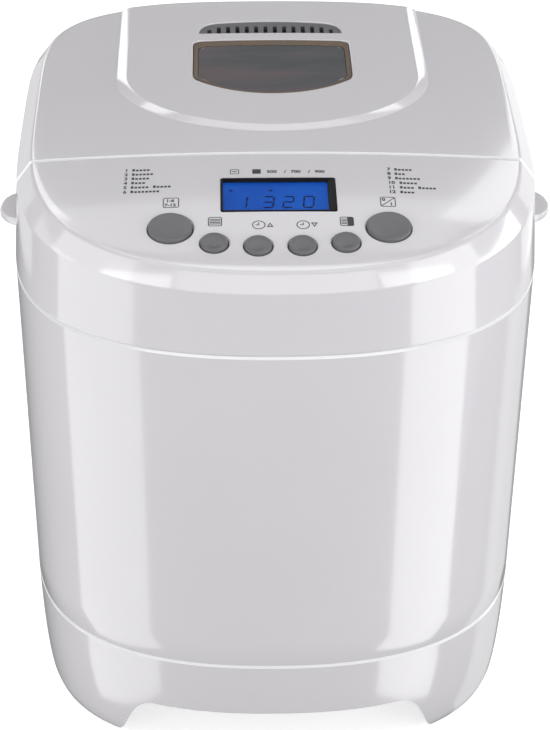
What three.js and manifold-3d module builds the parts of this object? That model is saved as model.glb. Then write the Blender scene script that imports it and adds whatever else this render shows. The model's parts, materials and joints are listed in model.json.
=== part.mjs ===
// Countertop bread machine with a windowed lid, a curved control panel and a belt-driven paddle.
// Millimetres, +Z up. The origin is on the table, under the middle of the footprint.
// The control panel faces -Y, and the lid's hinge is along X at the back.
import * as THREE from "three";
import { mergeVertices } from "three/addons/utils/BufferGeometryUtils.js";
import Module from "manifold-3d";

const wasm = await Module();
wasm.setup();

// ---------------------------------------------------------------------------
// Driving dimensions
// ---------------------------------------------------------------------------
const GAP = 0.3;
const WALL = 2.6;

// Plan outline: two superellipse halves that share their widest line.
const HALF_WIDTH = 127.4;
const HALF_DEPTH = 136.5;
const WIDE_Y = 2.5;
const FRONT_POWERS = { x: 2.29, y: 3.43 };
const BACK_POWERS = { x: 3.8, y: 5.6 };
const OUTLINE_POINTS = 40;

// Heights of the seams between the housings.
const SEAM_LOW = 66;
const SEAM_HIGH = 246.7;
const SEAM_GAP = 0.6;

// Top surface: it rises from the panel's front edge and levels out towards the back, with a side crown.
const TOP_LEVEL = 307.3;
const TOP_RISE = 20.1;
const TOP_EASE = 72.5;
const TOP_START_Y = -127;
const CROWN_RADIUS = 1734;

// Chamfer between the side walls and the top.
const CHAMFER_OUTER = { side: 2.3, end: 3.8 };
const CHAMFER_INNER = { side: 9.6, end: 7.4 };
const CHAMFER_DROP = 10.2;

// Lid: its front edge, the sloping plane of its lower edge, and the hinge.
const LID_FRONT_Y = -40.5;
const LID_PLANE_Z = 258;
const LID_SLOPE = Math.atan(9 / 166.5);
const HINGE = { y: 126, z: 255.5, pin: 2, knuckle: 6, arm: 72, halfArm: 6.6 };
const BEAD_RADIUS = 10.8;
const PAD = { rise: 2, halfWidth: 78.8, centreY: 39.5, reach: 58.6 };
const WINDOW = { halfWidth: 40.3, backY: 77.5, sideY: 33.9, frontY: 16 };
const VENT = { halfWidth: 37.2, frontY: 86.5, backY: 101.2, slots: 14, pitch: 4.9 };

const LID_LINER = { halfX: 99, halfY: 73.5, radius: 24, low: 3, sheet: 1.6, rim: 7 };
const LID_SCREWS = [[-78, -8], [78, -8], [-78, 97], [78, 97]];
const INNER_GLASS = { halfX: 36, halfY: 26, y: 47 };
const GRIP = { y: -23.5, halfY: 15, reach: 134.4, low: 259.4, high: 265.5 };

// Base: floor plate, arches at front and back, and feet.
const FLOOR_Z = 33;
const ARCH = { top: 32, flat: 62, foot: 82 };
const FOOT = { x: 86, frontY: -78, backY: 92, radius: 11, pad: 6 };
const BASE_SCREW = { x: 104, frontY: -24, backY: 66, radius: 2 };
const CORD_GLAND = { x: -40, z: 48, radius: 6 };

// Oven chamber, bread pan and drive.
const OVEN = { y: 44.5, halfX: 92, halfY: 70, radius: 24, floor: 70, sheet: 1.5 };
const PAN = { floor: 98, rim: 228, halfX: 66, halfY: 50, flare: 5.5, radius: 22, sheet: 1.8 };
const HANDLE = { z: 220, pivotX: 78.6, reach: 64, radius: 2.2 };
const PAN_SHAFT = { radius: 4, top: 134, flat: 2.6 };
const PADDLE = { low: 107, high: 131, hub: 9, reach: 42 };
const CHASSIS_Z = 62;
const MOTOR = { x: -38, y: -75, radius: 33, top: 148 };
const BELT = { low: 44, high: 52, big: 40, small: 8, thick: 2 };
const ELEMENT = { z: 96, radius: 3.25, halfX: 82, halfY: 61 };
const SENSOR = { x: -50, z: 124 };

// Buttons: centre on the panel and cap radius.
const BUTTONS = [
  { name: "menu_button", x: -49.8, y: -99.3, radius: 10.2 },
  { name: "size_button", x: -29.8, y: -110.1, radius: 6.3 },
  { name: "time_up_button", x: -10, y: -112.3, radius: 6.3 },
  { name: "time_down_button", x: 10, y: -112.3, radius: 6.3 },
  { name: "crust_button", x: 29.8, y: -110.1, radius: 6.3 },
  { name: "start_stop_button", x: 49.8, y: -99.3, radius: 10.2 },
];
const BUTTON = { proud: 1.3, travel: 1, flange: 1.5 };
const DISPLAY = { y: -74.9, halfX: 26.9, halfY: 13.6 };
const BOARD = { y: -86, halfX: 59, halfY: 27, depth: 15.5, thick: 1.6, switchHeight: 4.5 };

// ---------------------------------------------------------------------------
// Solids
// ---------------------------------------------------------------------------
const Y_Z_X = new THREE.Matrix4().makeBasis(
  new THREE.Vector3(0, 1, 0),
  new THREE.Vector3(0, 0, 1),
  new THREE.Vector3(1, 0, 0),
);
const X_Z_Y = new THREE.Matrix4().makeBasis(
  new THREE.Vector3(1, 0, 0),
  new THREE.Vector3(0, 0, 1),
  new THREE.Vector3(0, -1, 0),
);

// A manifold solid from a closed geometry, with its faces turned outwards.
function solid(geometry) {
  const bare = new THREE.BufferGeometry();
  bare.setAttribute("position", geometry.getAttribute("position"));
  bare.setIndex(geometry.index);
  const merged = mergeVertices(bare, 1e-3);
  const points = merged.getAttribute("position");
  const index = merged.index.array;
  const triangles = [];
  const [a, b, c] = [new THREE.Vector3(), new THREE.Vector3(), new THREE.Vector3()];
  let volume = 0;
  for (let i = 0; i < index.length; i += 3) {
    const corner = [index[i], index[i + 1], index[i + 2]];
    if (new Set(corner).size < 3) continue;
    triangles.push(...corner);
    a.fromBufferAttribute(points, corner[0]);
    b.fromBufferAttribute(points, corner[1]);
    c.fromBufferAttribute(points, corner[2]);
    volume += a.dot(b.cross(c));
  }
  if (volume < 0) triangles.reverse();
  const vertProperties = new Float32Array(points.array);
  return new wasm.Manifold(new wasm.Mesh({ numProp: 3, vertProperties, triVerts: new Uint32Array(triangles) }));
}

function geometryOf(manifold) {
  const mesh = manifold.getMesh();
  const geometry = new THREE.BufferGeometry();
  geometry.setAttribute("position", new THREE.BufferAttribute(mesh.vertProperties, 3));
  geometry.setIndex(new THREE.BufferAttribute(mesh.triVerts, 1));
  geometry.computeVertexNormals();
  return geometry;
}

function joined(first, ...others) {
  return others.reduce((sum, other) => sum.add(other), first);
}

function cut(first, ...others) {
  return others.reduce((rest, other) => rest.subtract(other), first);
}

function block(x0, x1, y0, y1, z0, z1) {
  const box = new THREE.BoxGeometry(x1 - x0, y1 - y0, z1 - z0);
  return solid(box.translate((x0 + x1) / 2, (y0 + y1) / 2, (z0 + z1) / 2));
}

function post(x, y, z0, z1, radius, sides = 12) {
  const cylinder = new THREE.CylinderGeometry(radius, radius, z1 - z0, sides);
  return solid(cylinder.rotateX(Math.PI / 2).translate(x, y, (z0 + z1) / 2));
}

function rodAlongX(x0, x1, y, z, radius, sides = 12) {
  const cylinder = new THREE.CylinderGeometry(radius, radius, x1 - x0, sides);
  return solid(cylinder.rotateZ(Math.PI / 2).translate((x0 + x1) / 2, y, z));
}

function rodAlongY(x, y0, y1, z, radius, sides = 12) {
  const cylinder = new THREE.CylinderGeometry(radius, radius, y1 - y0, sides);
  return solid(cylinder.translate(x, (y0 + y1) / 2, z));
}

function prism(shape, z0, z1, curveSegments = 6) {
  const settings = { depth: z1 - z0, bevelEnabled: false, curveSegments };
  return solid(new THREE.ExtrudeGeometry(shape, settings).translate(0, 0, z0));
}

// A side profile drawn in Y and Z, extruded along X.
function sideProfile(shape, x0, x1, curveSegments = 8) {
  const settings = { depth: x1 - x0, bevelEnabled: false, curveSegments };
  return solid(new THREE.ExtrudeGeometry(shape, settings).applyMatrix4(Y_Z_X).translate(x0, 0, 0));
}

// A front profile drawn in X and Z, extruded along Y.
function frontProfile(shape, y0, y1, curveSegments = 8) {
  const settings = { depth: y1 - y0, bevelEnabled: false, curveSegments };
  return solid(new THREE.ExtrudeGeometry(shape, settings).applyMatrix4(X_Z_Y).translate(0, y1, 0));
}

// A turned piece: pairs of radius and height around a vertical axis.
function turned(profile, x = 0, y = 0, segments = 24) {
  const points = profile.map(([radius, height]) => new THREE.Vector2(radius, height));
  return solid(new THREE.LatheGeometry(points, segments).rotateX(Math.PI / 2).translate(x, y, 0));
}

function closedProfile(profile) {
  return [...profile, profile[0]];
}

// A round wire through a list of points.
function wire(points, radius, steps, sides = 8) {
  const places = points.map(([x, y, z]) => new THREE.Vector3(x, y, z));
  const path = new THREE.CatmullRomCurve3(places, false, "centripetal");
  const circle = new THREE.Shape().absarc(0, 0, radius, 0, 2 * Math.PI, false);
  const settings = { steps, extrudePath: path, bevelEnabled: false, curveSegments: sides / 2 };
  return solid(new THREE.ExtrudeGeometry(circle, settings));
}

function roundedRectangle(halfX, halfY, radius, y = 0, x = 0) {
  const shape = new THREE.Shape();
  shape.absarc(x + halfX - radius, y + halfY - radius, radius, 0, Math.PI / 2, false);
  shape.absarc(x - halfX + radius, y + halfY - radius, radius, Math.PI / 2, Math.PI, false);
  shape.absarc(x - halfX + radius, y - halfY + radius, radius, Math.PI, 1.5 * Math.PI, false);
  shape.absarc(x + halfX - radius, y - halfY + radius, radius, 1.5 * Math.PI, 2 * Math.PI, false);
  return shape;
}

// ---------------------------------------------------------------------------
// The outer form
// ---------------------------------------------------------------------------
const topHeight = (x, y) =>
  TOP_LEVEL - TOP_RISE * Math.exp(-(y - TOP_START_Y) / TOP_EASE) - (x * x) / (2 * CROWN_RADIUS);
const topSlope = (y) => (TOP_RISE / TOP_EASE) * Math.exp(-(y - TOP_START_Y) / TOP_EASE);
const lidPlane = (y) => LID_PLANE_Z + Math.tan(LID_SLOPE) * (y - LID_FRONT_Y);

function outline() {
  const points = [];
  for (let i = 0; i < OUTLINE_POINTS; i += 1) {
    const angle = (2 * Math.PI * i) / OUTLINE_POINTS;
    const [c, s] = [Math.cos(angle), Math.sin(angle)];
    const powers = s < 0 ? FRONT_POWERS : BACK_POWERS;
    const reach = s < 0 ? HALF_DEPTH + WIDE_Y : HALF_DEPTH - WIDE_Y;
    const x = HALF_WIDTH * Math.sign(c) * Math.abs(c) ** (2 / powers.x);
    const y = WIDE_Y + reach * Math.sign(s) * Math.abs(s) ** (2 / powers.y);
    points.push(new THREE.Vector2(x, y));
  }
  return new THREE.Shape(points);
}

// A point of the outline moved inwards by one amount at the sides and another at the front and back.
function inset(x, y, side, end = side) {
  const reach = y < WIDE_Y ? HALF_DEPTH + WIDE_Y : HALF_DEPTH - WIDE_Y;
  return [(x * (HALF_WIDTH - side)) / HALF_WIDTH, WIDE_Y + ((y - WIDE_Y) * (reach - end)) / reach];
}

// The outline lofted through a list of levels, each { side, end, z }, where z may depend on the point.
function loft(levels) {
  const steps = levels.length - 1;
  const geometry = new THREE.ExtrudeGeometry(outline(), { depth: steps, steps, bevelEnabled: false });
  const points = geometry.getAttribute("position");
  for (let i = 0; i < points.count; i += 1) {
    const level = levels[Math.round(points.getZ(i))];
    const [x, y] = [points.getX(i), points.getY(i)];
    const z = typeof level.z === "function" ? level.z(x, y) : level.z;
    points.setXYZ(i, ...inset(x, y, level.side, level.end ?? level.side), z);
  }
  return solid(geometry);
}

// Everything under the top surface, lowered by a depth.
function underTop(depth) {
  const stations = [-150, -128, -106, -84, -62, LID_FRONT_Y, -12, 18, 55, 100, 151];
  const profile = new THREE.Shape([
    new THREE.Vector2(stations[0], 0),
    ...stations.map((y) => new THREE.Vector2(y, topHeight(0, y) - depth)),
    new THREE.Vector2(stations.at(-1), 0),
  ]);
  const width = 2 * HALF_WIDTH + 12;
  const settings = { depth: width, steps: 8, bevelEnabled: false };
  const geometry = new THREE.ExtrudeGeometry(profile, settings).applyMatrix4(Y_Z_X).translate(-width / 2, 0, 0);
  const points = geometry.getAttribute("position");
  for (let i = 0; i < points.count; i += 1) {
    if (points.getZ(i) < SEAM_HIGH - 40) continue;
    points.setZ(i, points.getZ(i) - points.getX(i) ** 2 / (2 * CROWN_RADIUS));
  }
  return solid(geometry);
}

// The upper body, down to a height, shrunk by a wall thickness.
function upperBody(bottom, wall) {
  const edge = (x, y) => topHeight(...inset(x, y, CHAMFER_INNER.side, CHAMFER_INNER.end)) - wall / 2;
  const beyond = 1.6;
  const run = CHAMFER_INNER.side - CHAMFER_OUTER.side;
  const low = { side: CHAMFER_OUTER.side + wall, end: CHAMFER_OUTER.end + wall };
  return loft([
    { side: wall, z: bottom },
    { ...low, z: (x, y) => edge(x, y) - CHAMFER_DROP },
    {
      side: low.side + beyond * run,
      end: low.end + beyond * run,
      z: (x, y) => edge(x, y) + (beyond - 1) * CHAMFER_DROP,
    },
  ]).intersect(underTop(wall));
}

// The space that the lid takes out of the upper housing, with the round bead along the hinge.
function lidSpace(wall) {
  const shape = new THREE.Shape();
  const front = LID_FRONT_Y - GAP - wall;
  const sink = SEAM_GAP + wall;
  shape.moveTo(front, 400);
  shape.lineTo(front, lidPlane(front) - sink);
  shape.lineTo(HINGE.y, HINGE.z + BEAD_RADIUS - wall);
  shape.absarc(HINGE.y, HINGE.z, BEAD_RADIUS - wall, Math.PI / 2, 0, true);
  shape.lineTo(200, HINGE.z);
  shape.lineTo(200, 400);
  return sideProfile(shape, -160, 160);
}

function windowShape(margin) {
  const half = WINDOW.halfWidth - margin;
  const sagitta = WINDOW.sideY - WINDOW.frontY;
  const radius = (half * half + sagitta * sagitta) / (2 * sagitta);
  const spread = Math.asin(half / radius);
  const shape = new THREE.Shape();
  const centre = WINDOW.frontY + margin + radius;
  shape.absarc(0, centre, radius, -Math.PI / 2 - spread, -Math.PI / 2 + spread, false);
  const corner = 4;
  const back = WINDOW.backY - margin;
  shape.absarc(half - corner, back - corner, corner, 0, Math.PI / 2, false);
  shape.absarc(-half + corner, back - corner, corner, Math.PI / 2, Math.PI, false);
  return shape;
}

function ventShape(margin) {
  const half = VENT.halfWidth - margin;
  const [front, back] = [VENT.frontY + margin, VENT.backY - margin];
  const corner = 8;
  const shape = new THREE.Shape();
  shape.moveTo(-half, front);
  shape.lineTo(half, front);
  shape.quadraticCurveTo(half, back - 3, half - corner, back - 3);
  shape.quadraticCurveTo(0, back + 3, -half + corner, back - 3);
  shape.quadraticCurveTo(-half, back - 3, -half, front);
  return shape;
}

function padShape() {
  const shape = new THREE.Shape();
  shape.absellipse(0, PAD.centreY, PAD.halfWidth, PAD.reach, Math.PI, 2 * Math.PI, false);
  shape.lineTo(PAD.halfWidth, HALF_DEPTH);
  shape.lineTo(-PAD.halfWidth, HALF_DEPTH);
  return shape;
}

// A sheet that follows the top surface: a plan shape between two heights over it.
function topSheet(shape, low, high, curveSegments = 8) {
  return prism(shape, 240, 330, curveSegments).intersect(underTop(-high)).subtract(underTop(-low));
}

// ---------------------------------------------------------------------------
// The object
// ---------------------------------------------------------------------------
const machine = new THREE.Group();

const finishes = {
  white: { color: 0xd9d8dc, roughness: 0.22, metalness: 0 },
  grey: { color: 0x77777c, roughness: 0.45, metalness: 0 },
  darkPlastic: { color: 0x2b2b2e, roughness: 0.5, metalness: 0 },
  rubber: { color: 0x1d1d1f, roughness: 0.9, metalness: 0 },
  steel: { color: 0xb4b5b8, roughness: 0.35, metalness: 1 },
  galvanised: { color: 0xa2a5a8, roughness: 0.5, metalness: 1 },
  coated: { color: 0x2f2f33, roughness: 0.4, metalness: 0.3 },
  aluminium: { color: 0xc4c6c9, roughness: 0.35, metalness: 1 },
  brass: { color: 0xb08d4a, roughness: 0.4, metalness: 1 },
  glass: { color: 0x5a5a5c, roughness: 0.08, metalness: 0 },
  seal: { color: 0x7b6a5a, roughness: 0.6, metalness: 0 },
  silicone: { color: 0xb9b4ae, roughness: 0.7, metalness: 0 },
  board: { color: 0x1f5a34, roughness: 0.6, metalness: 0 },
  display: { color: 0x2f62d8, roughness: 0.3, metalness: 0 },
};

function add(name, manifold, finish, parent = machine) {
  const mesh = new THREE.Mesh(geometryOf(manifold), new THREE.MeshStandardMaterial(finish));
  mesh.name = name;
  parent.add(mesh);
  return mesh;
}

// A group that lies in the plane of the lid's lower edge, with its origin at the lid's front.
const underLid = new THREE.Group();
underLid.position.set(0, LID_FRONT_Y, LID_PLANE_Z);
underLid.rotation.x = LID_SLOPE;
machine.add(underLid);
underLid.updateMatrixWorld(true);

const inLidPlane = (manifold) => solid(geometryOf(manifold).applyMatrix4(underLid.matrixWorld));
const alongLid = (y) => y - LID_FRONT_Y;

// --- Housings ---------------------------------------------------------------
const BASE_LEVELS = [
  { side: 7.4, end: 13.6, z: 1.2 },
  { side: 6, end: 12, z: 4 },
  { side: 3.7, end: 6, z: 28 },
  { side: 2.3, end: 1.3, z: SEAM_LOW - SEAM_GAP / 2 },
];

// The base's inside below or above its floor, as levels of the same loft.
function insideBase(levels) {
  return loft(levels.map(({ side, end, z }) => ({ side: side + WALL, end: end + WALL, z })));
}

function archCut() {
  const shape = new THREE.Shape();
  shape.moveTo(-ARCH.foot, -5);
  shape.lineTo(-ARCH.foot, 1);
  shape.bezierCurveTo(-ARCH.foot + 6, 3, -ARCH.foot + 6, ARCH.top, -ARCH.flat, ARCH.top);
  shape.lineTo(ARCH.flat, ARCH.top);
  shape.bezierCurveTo(ARCH.foot - 6, ARCH.top, ARCH.foot - 6, 3, ARCH.foot, 1);
  shape.lineTo(ARCH.foot, -5);
  return joined(frontProfile(shape, -160, -95), frontProfile(shape, 105, 160));
}

const footPlaces = [[-1, "front"], [1, "front"], [-1, "back"], [1, "back"]].map(([side, end]) => ({
  name: `${end}_${side < 0 ? "left" : "right"}`,
  foot: [side * FOOT.x, FOOT[`${end}Y`]],
  screw: [side * BASE_SCREW.x, BASE_SCREW[`${end}Y`]],
  side,
}));

function baseTray() {
  const below = insideBase([{ ...BASE_LEVELS[0], z: -2 }, { ...BASE_LEVELS[2], z: FLOOR_Z }]);
  const above = insideBase([
    { ...BASE_LEVELS[2], z: FLOOR_Z + WALL },
    { ...BASE_LEVELS[3], z: SEAM_LOW + 5 },
  ]);
  let tray = cut(loft(BASE_LEVELS), below, above, archCut());
  for (const { foot, screw } of footPlaces) {
    tray = tray.add(post(...foot, FOOT.pad, FLOOR_Z + 1, FOOT.radius));
    tray = tray.add(post(...screw, FLOOR_Z + 1, SEAM_LOW - 6, 5.5));
    tray = tray.subtract(post(...screw, FLOOR_Z - 2, SEAM_LOW, BASE_SCREW.radius + 0.4, 12));
  }
  const glandHole = rodAlongY(CORD_GLAND.x, 110, 150, CORD_GLAND.z, CORD_GLAND.radius + 0.4);
  const vents = [-2, -1, 0, 1, 2].map((i) => block(-30, 30, -70 + 12 * i - 2.5, -70 + 12 * i + 2.5, 30, 40));
  return cut(tray, glandHole, ...vents);
}

function midCasing() {
  const levels = (wall, low, high) => [
    { side: 2.3 + wall, end: 1.3 + wall, z: low },
    { side: wall, z: high },
  ];
  const top = SEAM_HIGH - SEAM_GAP / 2;
  const shell = cut(loft(levels(0, SEAM_LOW + SEAM_GAP / 2, top)), loft(levels(WALL, SEAM_LOW - 5, top + 5)));
  const lip = cut(
    loft([{ side: WALL - 0.4, z: top - 6 }, { side: WALL + 1.4, z: top - 1 }, { side: WALL + 1.4, z: top + 3 }]),
    loft([{ side: WALL + 2.8, z: top - 12 }, { side: WALL + 2.8, z: top + 9 }]),
  );
  let casing = joined(shell, lip);
  for (const side of [-1, 1]) {
    const centre = side * HINGE.arm;
    casing = casing.subtract(block(centre - 12, centre + 12, 112, HALF_DEPTH - WALL - 0.3, top - 9, top + 9));
  }
  for (const { side, screw } of footPlaces) {
    const [x, y] = screw;
    const [inner, outer] = [x - 6 * side, side * (HALF_WIDTH - 4)];
    const [x0, x1] = [Math.min(inner, outer), Math.max(inner, outer)];
    const lug = block(x0, x1, y - 6, y + 6, SEAM_LOW + 1, SEAM_LOW + 10);
    casing = casing.add(lug.intersect(loft(levels(0, SEAM_LOW + SEAM_GAP / 2, top))));
    casing = casing.subtract(post(x, y, SEAM_LOW - 5, SEAM_LOW + 20, BASE_SCREW.radius + 0.4, 12));
  }
  return casing;
}

// One hinge lug of the upper housing, between two X values.
function hingeLug(x0, x1) {
  const eye = rodAlongX(x0, x1, HINGE.y, HINGE.z, HINGE.knuckle + 0.2, 12);
  return joined(eye, block(x0, x1, HINGE.y - HINGE.knuckle, HINGE.y + HINGE.knuckle, HINGE.z, HINGE.z + 9));
}

function panelFrame(y) {
  const frame = new THREE.Matrix4().makeRotationX(Math.atan(topSlope(y)));
  return (x) => frame.clone().setPosition(x, y, topHeight(x, y));
}

function onPanel(manifold, x, y) {
  return solid(geometryOf(manifold).applyMatrix4(panelFrame(y)(x)));
}

function topCasing() {
  const bottom = SEAM_HIGH + SEAM_GAP / 2;
  const outside = upperBody(bottom, 0).subtract(lidSpace(0));
  const inside = upperBody(bottom - 8, WALL).subtract(lidSpace(WALL));
  let casing = outside.subtract(inside);
  const { halfX: ovenX, halfY: ovenY, radius: corner, sheet } = OVEN;
  const mouth = roundedRectangle(ovenX - sheet, ovenY - sheet, corner - sheet, OVEN.y);
  casing = casing.subtract(prism(mouth, 230, 290, 4));
  for (const side of [-1, 1]) {
    const centre = side * HINGE.arm;
    const [low, high] = [centre - HINGE.halfArm - GAP, centre + HINGE.halfArm + GAP];
    casing = joined(casing, hingeLug(low - 3.2, low), hingeLug(high, high + 3.2));
    casing = casing.subtract(block(low, high, HINGE.y - 7.6, 160, HINGE.z - 8.5, 300));
    casing = casing.subtract(rodAlongX(low - 4, high + 4, HINGE.y, HINGE.z, HINGE.pin + 0.4));
  }
  for (const { x, y, radius } of BUTTONS) {
    casing = casing.subtract(onPanel(post(0, 0, -12, 6, radius + 0.45, 16), x, y));
  }
  const { halfX, halfY } = DISPLAY;
  return casing.subtract(onPanel(block(-halfX, halfX, -halfY, halfY, -8, 6), 0, DISPLAY.y));
}

function cordGland() {
  const [outer, inner] = [HALF_DEPTH - 0.4, HALF_DEPTH - 14];
  const body = joined(
    rodAlongY(CORD_GLAND.x, inner, outer - 1, CORD_GLAND.z, CORD_GLAND.radius),
    rodAlongY(CORD_GLAND.x, outer - 2, outer, CORD_GLAND.z, CORD_GLAND.radius + 3, 20),
  );
  return body.subtract(rodAlongY(CORD_GLAND.x, inner - 2, outer + 2, CORD_GLAND.z, 3.7, 12));
}

function baseScrew([x, y]) {
  const { radius } = BASE_SCREW;
  return turned([
    [0, FLOOR_Z - 3], [3.6, FLOOR_Z - 3], [3.6, FLOOR_Z - GAP], [radius, FLOOR_Z - GAP],
    [radius, SEAM_LOW + 13], [0, SEAM_LOW + 13],
  ], x, y, 10);
}

function footPad([x, y]) {
  const top = FOOT.pad - GAP;
  return turned([[0, 0], [9, 0], [10, 1], [10, top], [0, top]], x, y, 16);
}

add("base_tray", baseTray(), finishes.white);
add("mid_casing", midCasing(), finishes.white);
add("top_casing", topCasing(), finishes.white);
add("cord_gland", cordGland(), finishes.rubber);
for (const { name, foot, screw } of footPlaces) {
  add(`foot_${name}`, footPad(foot), finishes.rubber);
  add(`base_screw_${name}`, baseScrew(screw), finishes.steel);
}

// --- Oven -------------------------------------------------------------------
function ovenLiner() {
  const { halfX, halfY, radius, y, floor, sheet } = OVEN;
  const outer = roundedRectangle(halfX, halfY, radius, y);
  const inner = roundedRectangle(halfX - sheet, halfY - sheet, radius - sheet, y);
  const flange = roundedRectangle(halfX + 3.5, halfY + 3, radius + 3, y);
  const underDeck = (at) => lidPlane(at) - SEAM_GAP - WALL - GAP;
  const trimPoints = (drop) => [
    [-80, 400], [-80, underDeck(-80) - drop], [160, underDeck(160) - drop], [160, 400],
  ];
  const above = (drop) => {
    const shape = new THREE.Shape(trimPoints(drop).map(([a, b]) => new THREE.Vector2(a, b)));
    return sideProfile(shape, -150, 150);
  };
  const body = prism(outer, floor, 280, 4).subtract(above(0));
  const rim = cut(prism(flange, 230, 280, 4), above(0)).intersect(above(sheet));
  let liner = joined(body, rim).subtract(prism(inner, floor + sheet, 290, 4));
  liner = liner.subtract(post(0, y, floor - 2, floor + 5, 15));
  for (const x of [-14, 14]) {
    liner = liner.subtract(rodAlongY(x, y - halfY - 5, y - halfY + 5, ELEMENT.z, ELEMENT.radius + 1, 12));
  }
  return liner.subtract(rodAlongY(SENSOR.x, y - halfY - 5, y - halfY + 5, SENSOR.z, 3.5, 12));
}

function temperatureSensor() {
  const face = OVEN.y - OVEN.halfY;
  return joined(
    rodAlongY(SENSOR.x, face - 8, face + 14, SENSOR.z, 3, 12),
    rodAlongY(SENSOR.x, face - 2.4, face - GAP, SENSOR.z, 8, 16),
  );
}

function heatingElement() {
  const { z, halfX, halfY } = ELEMENT;
  const [front, back] = [OVEN.y - halfY, OVEN.y + halfY];
  const half = [
    [14, front - 22], [14, front - 12], [14, front - 6], [16, front - 1], [26, front], [halfX - 20, front],
    [halfX - 5, front + 5], [halfX, front + 20], [halfX, OVEN.y], [halfX, back - 20],
    [halfX - 5, back - 5], [halfX - 20, back], [30, back],
  ];
  const left = half.map(([x, y]) => [-x, y, z]);
  const right = half.map(([x, y]) => [x, y, z]).reverse();
  return wire([...left, ...right], ELEMENT.radius, 48, 6);
}

function elementClip(side) {
  const x = side * ELEMENT.halfX;
  const top = ELEMENT.z - ELEMENT.radius - GAP;
  const floor = OVEN.floor + OVEN.sheet + GAP;
  return joined(
    block(x - 1, x + 1, OVEN.y - 6, OVEN.y + 6, floor, top - 1),
    block(x - 4, x + 4, OVEN.y - 6, OVEN.y + 6, floor, floor + 1.5),
    block(x - 4, x + 4, OVEN.y - 6, OVEN.y + 6, top - 1.6, top),
  );
}

add("oven_liner", ovenLiner(), finishes.galvanised);
add("temperature_sensor", temperatureSensor(), finishes.steel);
add("heating_element", heatingElement(), finishes.coated);
add("element_clip_left", elementClip(-1), finishes.steel);
add("element_clip_right", elementClip(1), finishes.steel);

// --- Drive ------------------------------------------------------------------
function chassis() {
  const plate = prism(roundedRectangle(84, 106, 12, 4), CHASSIS_Z, CHASSIS_Z + 2.5);
  const legs = [[-76, -62], [76, -62], [-76, 96], [76, 96]].map(([x, y]) =>
    block(x - 6, x + 6, y - 6, y + 6, FLOOR_Z + WALL + GAP, CHASSIS_Z + 1));
  return cut(joined(plate, ...legs), post(MOTOR.x, MOTOR.y, 50, 80, 12), post(0, OVEN.y, 50, 80, 13.6));
}

function motorCan() {
  const base = CHASSIS_Z + 2.5 + GAP;
  const { radius, top, x, y } = MOTOR;
  return turned([
    [0, base + 18], [4.5, base + 18], [4.5, base], [radius - 4, base], [radius, base + 4],
    [radius, top - 12], [radius - 6, top - 3], [10, top - 3], [9, top], [0, top],
  ], x, y, 20);
}

function pulley(groove, bore, x, y, segments) {
  const [low, high] = [BELT.low - GAP, BELT.high + GAP];
  const flange = groove + 3.4;
  return turned(closedProfile([
    [bore, low - 1.7], [flange, low - 1.7], [flange, low], [groove, low],
    [groove, high], [flange, high], [flange, high + 1.7], [bore, high + 1.7],
  ]), x, y, segments);
}

// The belt's outline: two arcs joined by their outer tangents.
function beltOutline(extra) {
  const [big, small] = [BELT.big + extra, BELT.small + extra];
  const across = new THREE.Vector2(MOTOR.x, MOTOR.y - OVEN.y);
  const heading = across.angle();
  const lean = Math.acos((big - small) / across.length());
  const shape = new THREE.Shape();
  shape.absarc(0, OVEN.y, big, heading + lean, heading - lean + 2 * Math.PI, false);
  shape.absarc(MOTOR.x, MOTOR.y, small, heading - lean, heading + lean, false);
  return shape;
}

function driveBelt() {
  const settings = [BELT.low, BELT.high, 10];
  const outer = prism(beltOutline(GAP + BELT.thick), ...settings);
  return outer.subtract(prism(beltOutline(GAP), BELT.low - 1, BELT.high + 1, 10));
}

function driveBearing() {
  return turned(closedProfile([
    [5.4, 56.5], [13, 56.5], [13, CHASSIS_Z + 2.8], [25, CHASSIS_Z + 2.8], [25, OVEN.floor - GAP],
    [14.5, OVEN.floor - GAP], [14.5, 78], [5.4, 78],
  ]), 0, OVEN.y, 20);
}

// Two dogs standing on a coupler disc, along X or along Y.
function dogs(alongX, z0, z1) {
  const [near, far, half] = [7, 15, 3.5];
  const one = (from, to) => (alongX
    ? block(from, to, OVEN.y - half, OVEN.y + half, z0, z1)
    : block(-half, half, OVEN.y + from, OVEN.y + to, z0, z1));
  return joined(one(-far, -near), one(near, far));
}

function driveCoupler() {
  const disc = joined(post(0, OVEN.y, 78.6, 85, 16, 24), dogs(true, 84, 91));
  return disc.subtract(post(0, OVEN.y, 70, 83.8, 5.3, 16));
}

function panCoupler() {
  const disc = joined(post(0, OVEN.y, 91.5, 96, 16, 24), dogs(false, 85.5, 92));
  return disc.subtract(post(0, OVEN.y, 80, 100, 4.3, 16));
}

add("chassis", chassis(), finishes.galvanised);
add("motor", motorCan(), finishes.steel);
add("motor_shaft", post(MOTOR.x, MOTOR.y, 40, CHASSIS_Z + 16, 4, 16), finishes.steel);
add("motor_pulley", pulley(BELT.small, 4.3, MOTOR.x, MOTOR.y, 14), finishes.aluminium);
add("drive_belt", driveBelt(), finishes.rubber);
add("drive_pulley", pulley(BELT.big, 5.3, 0, OVEN.y, 28), finishes.aluminium);
add("drive_shaft", post(0, OVEN.y, 38.5, 83.5, 5, 16), finishes.steel);
add("drive_bearing", driveBearing(), finishes.brass);
add("drive_coupler", driveCoupler(), finishes.aluminium);

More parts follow.
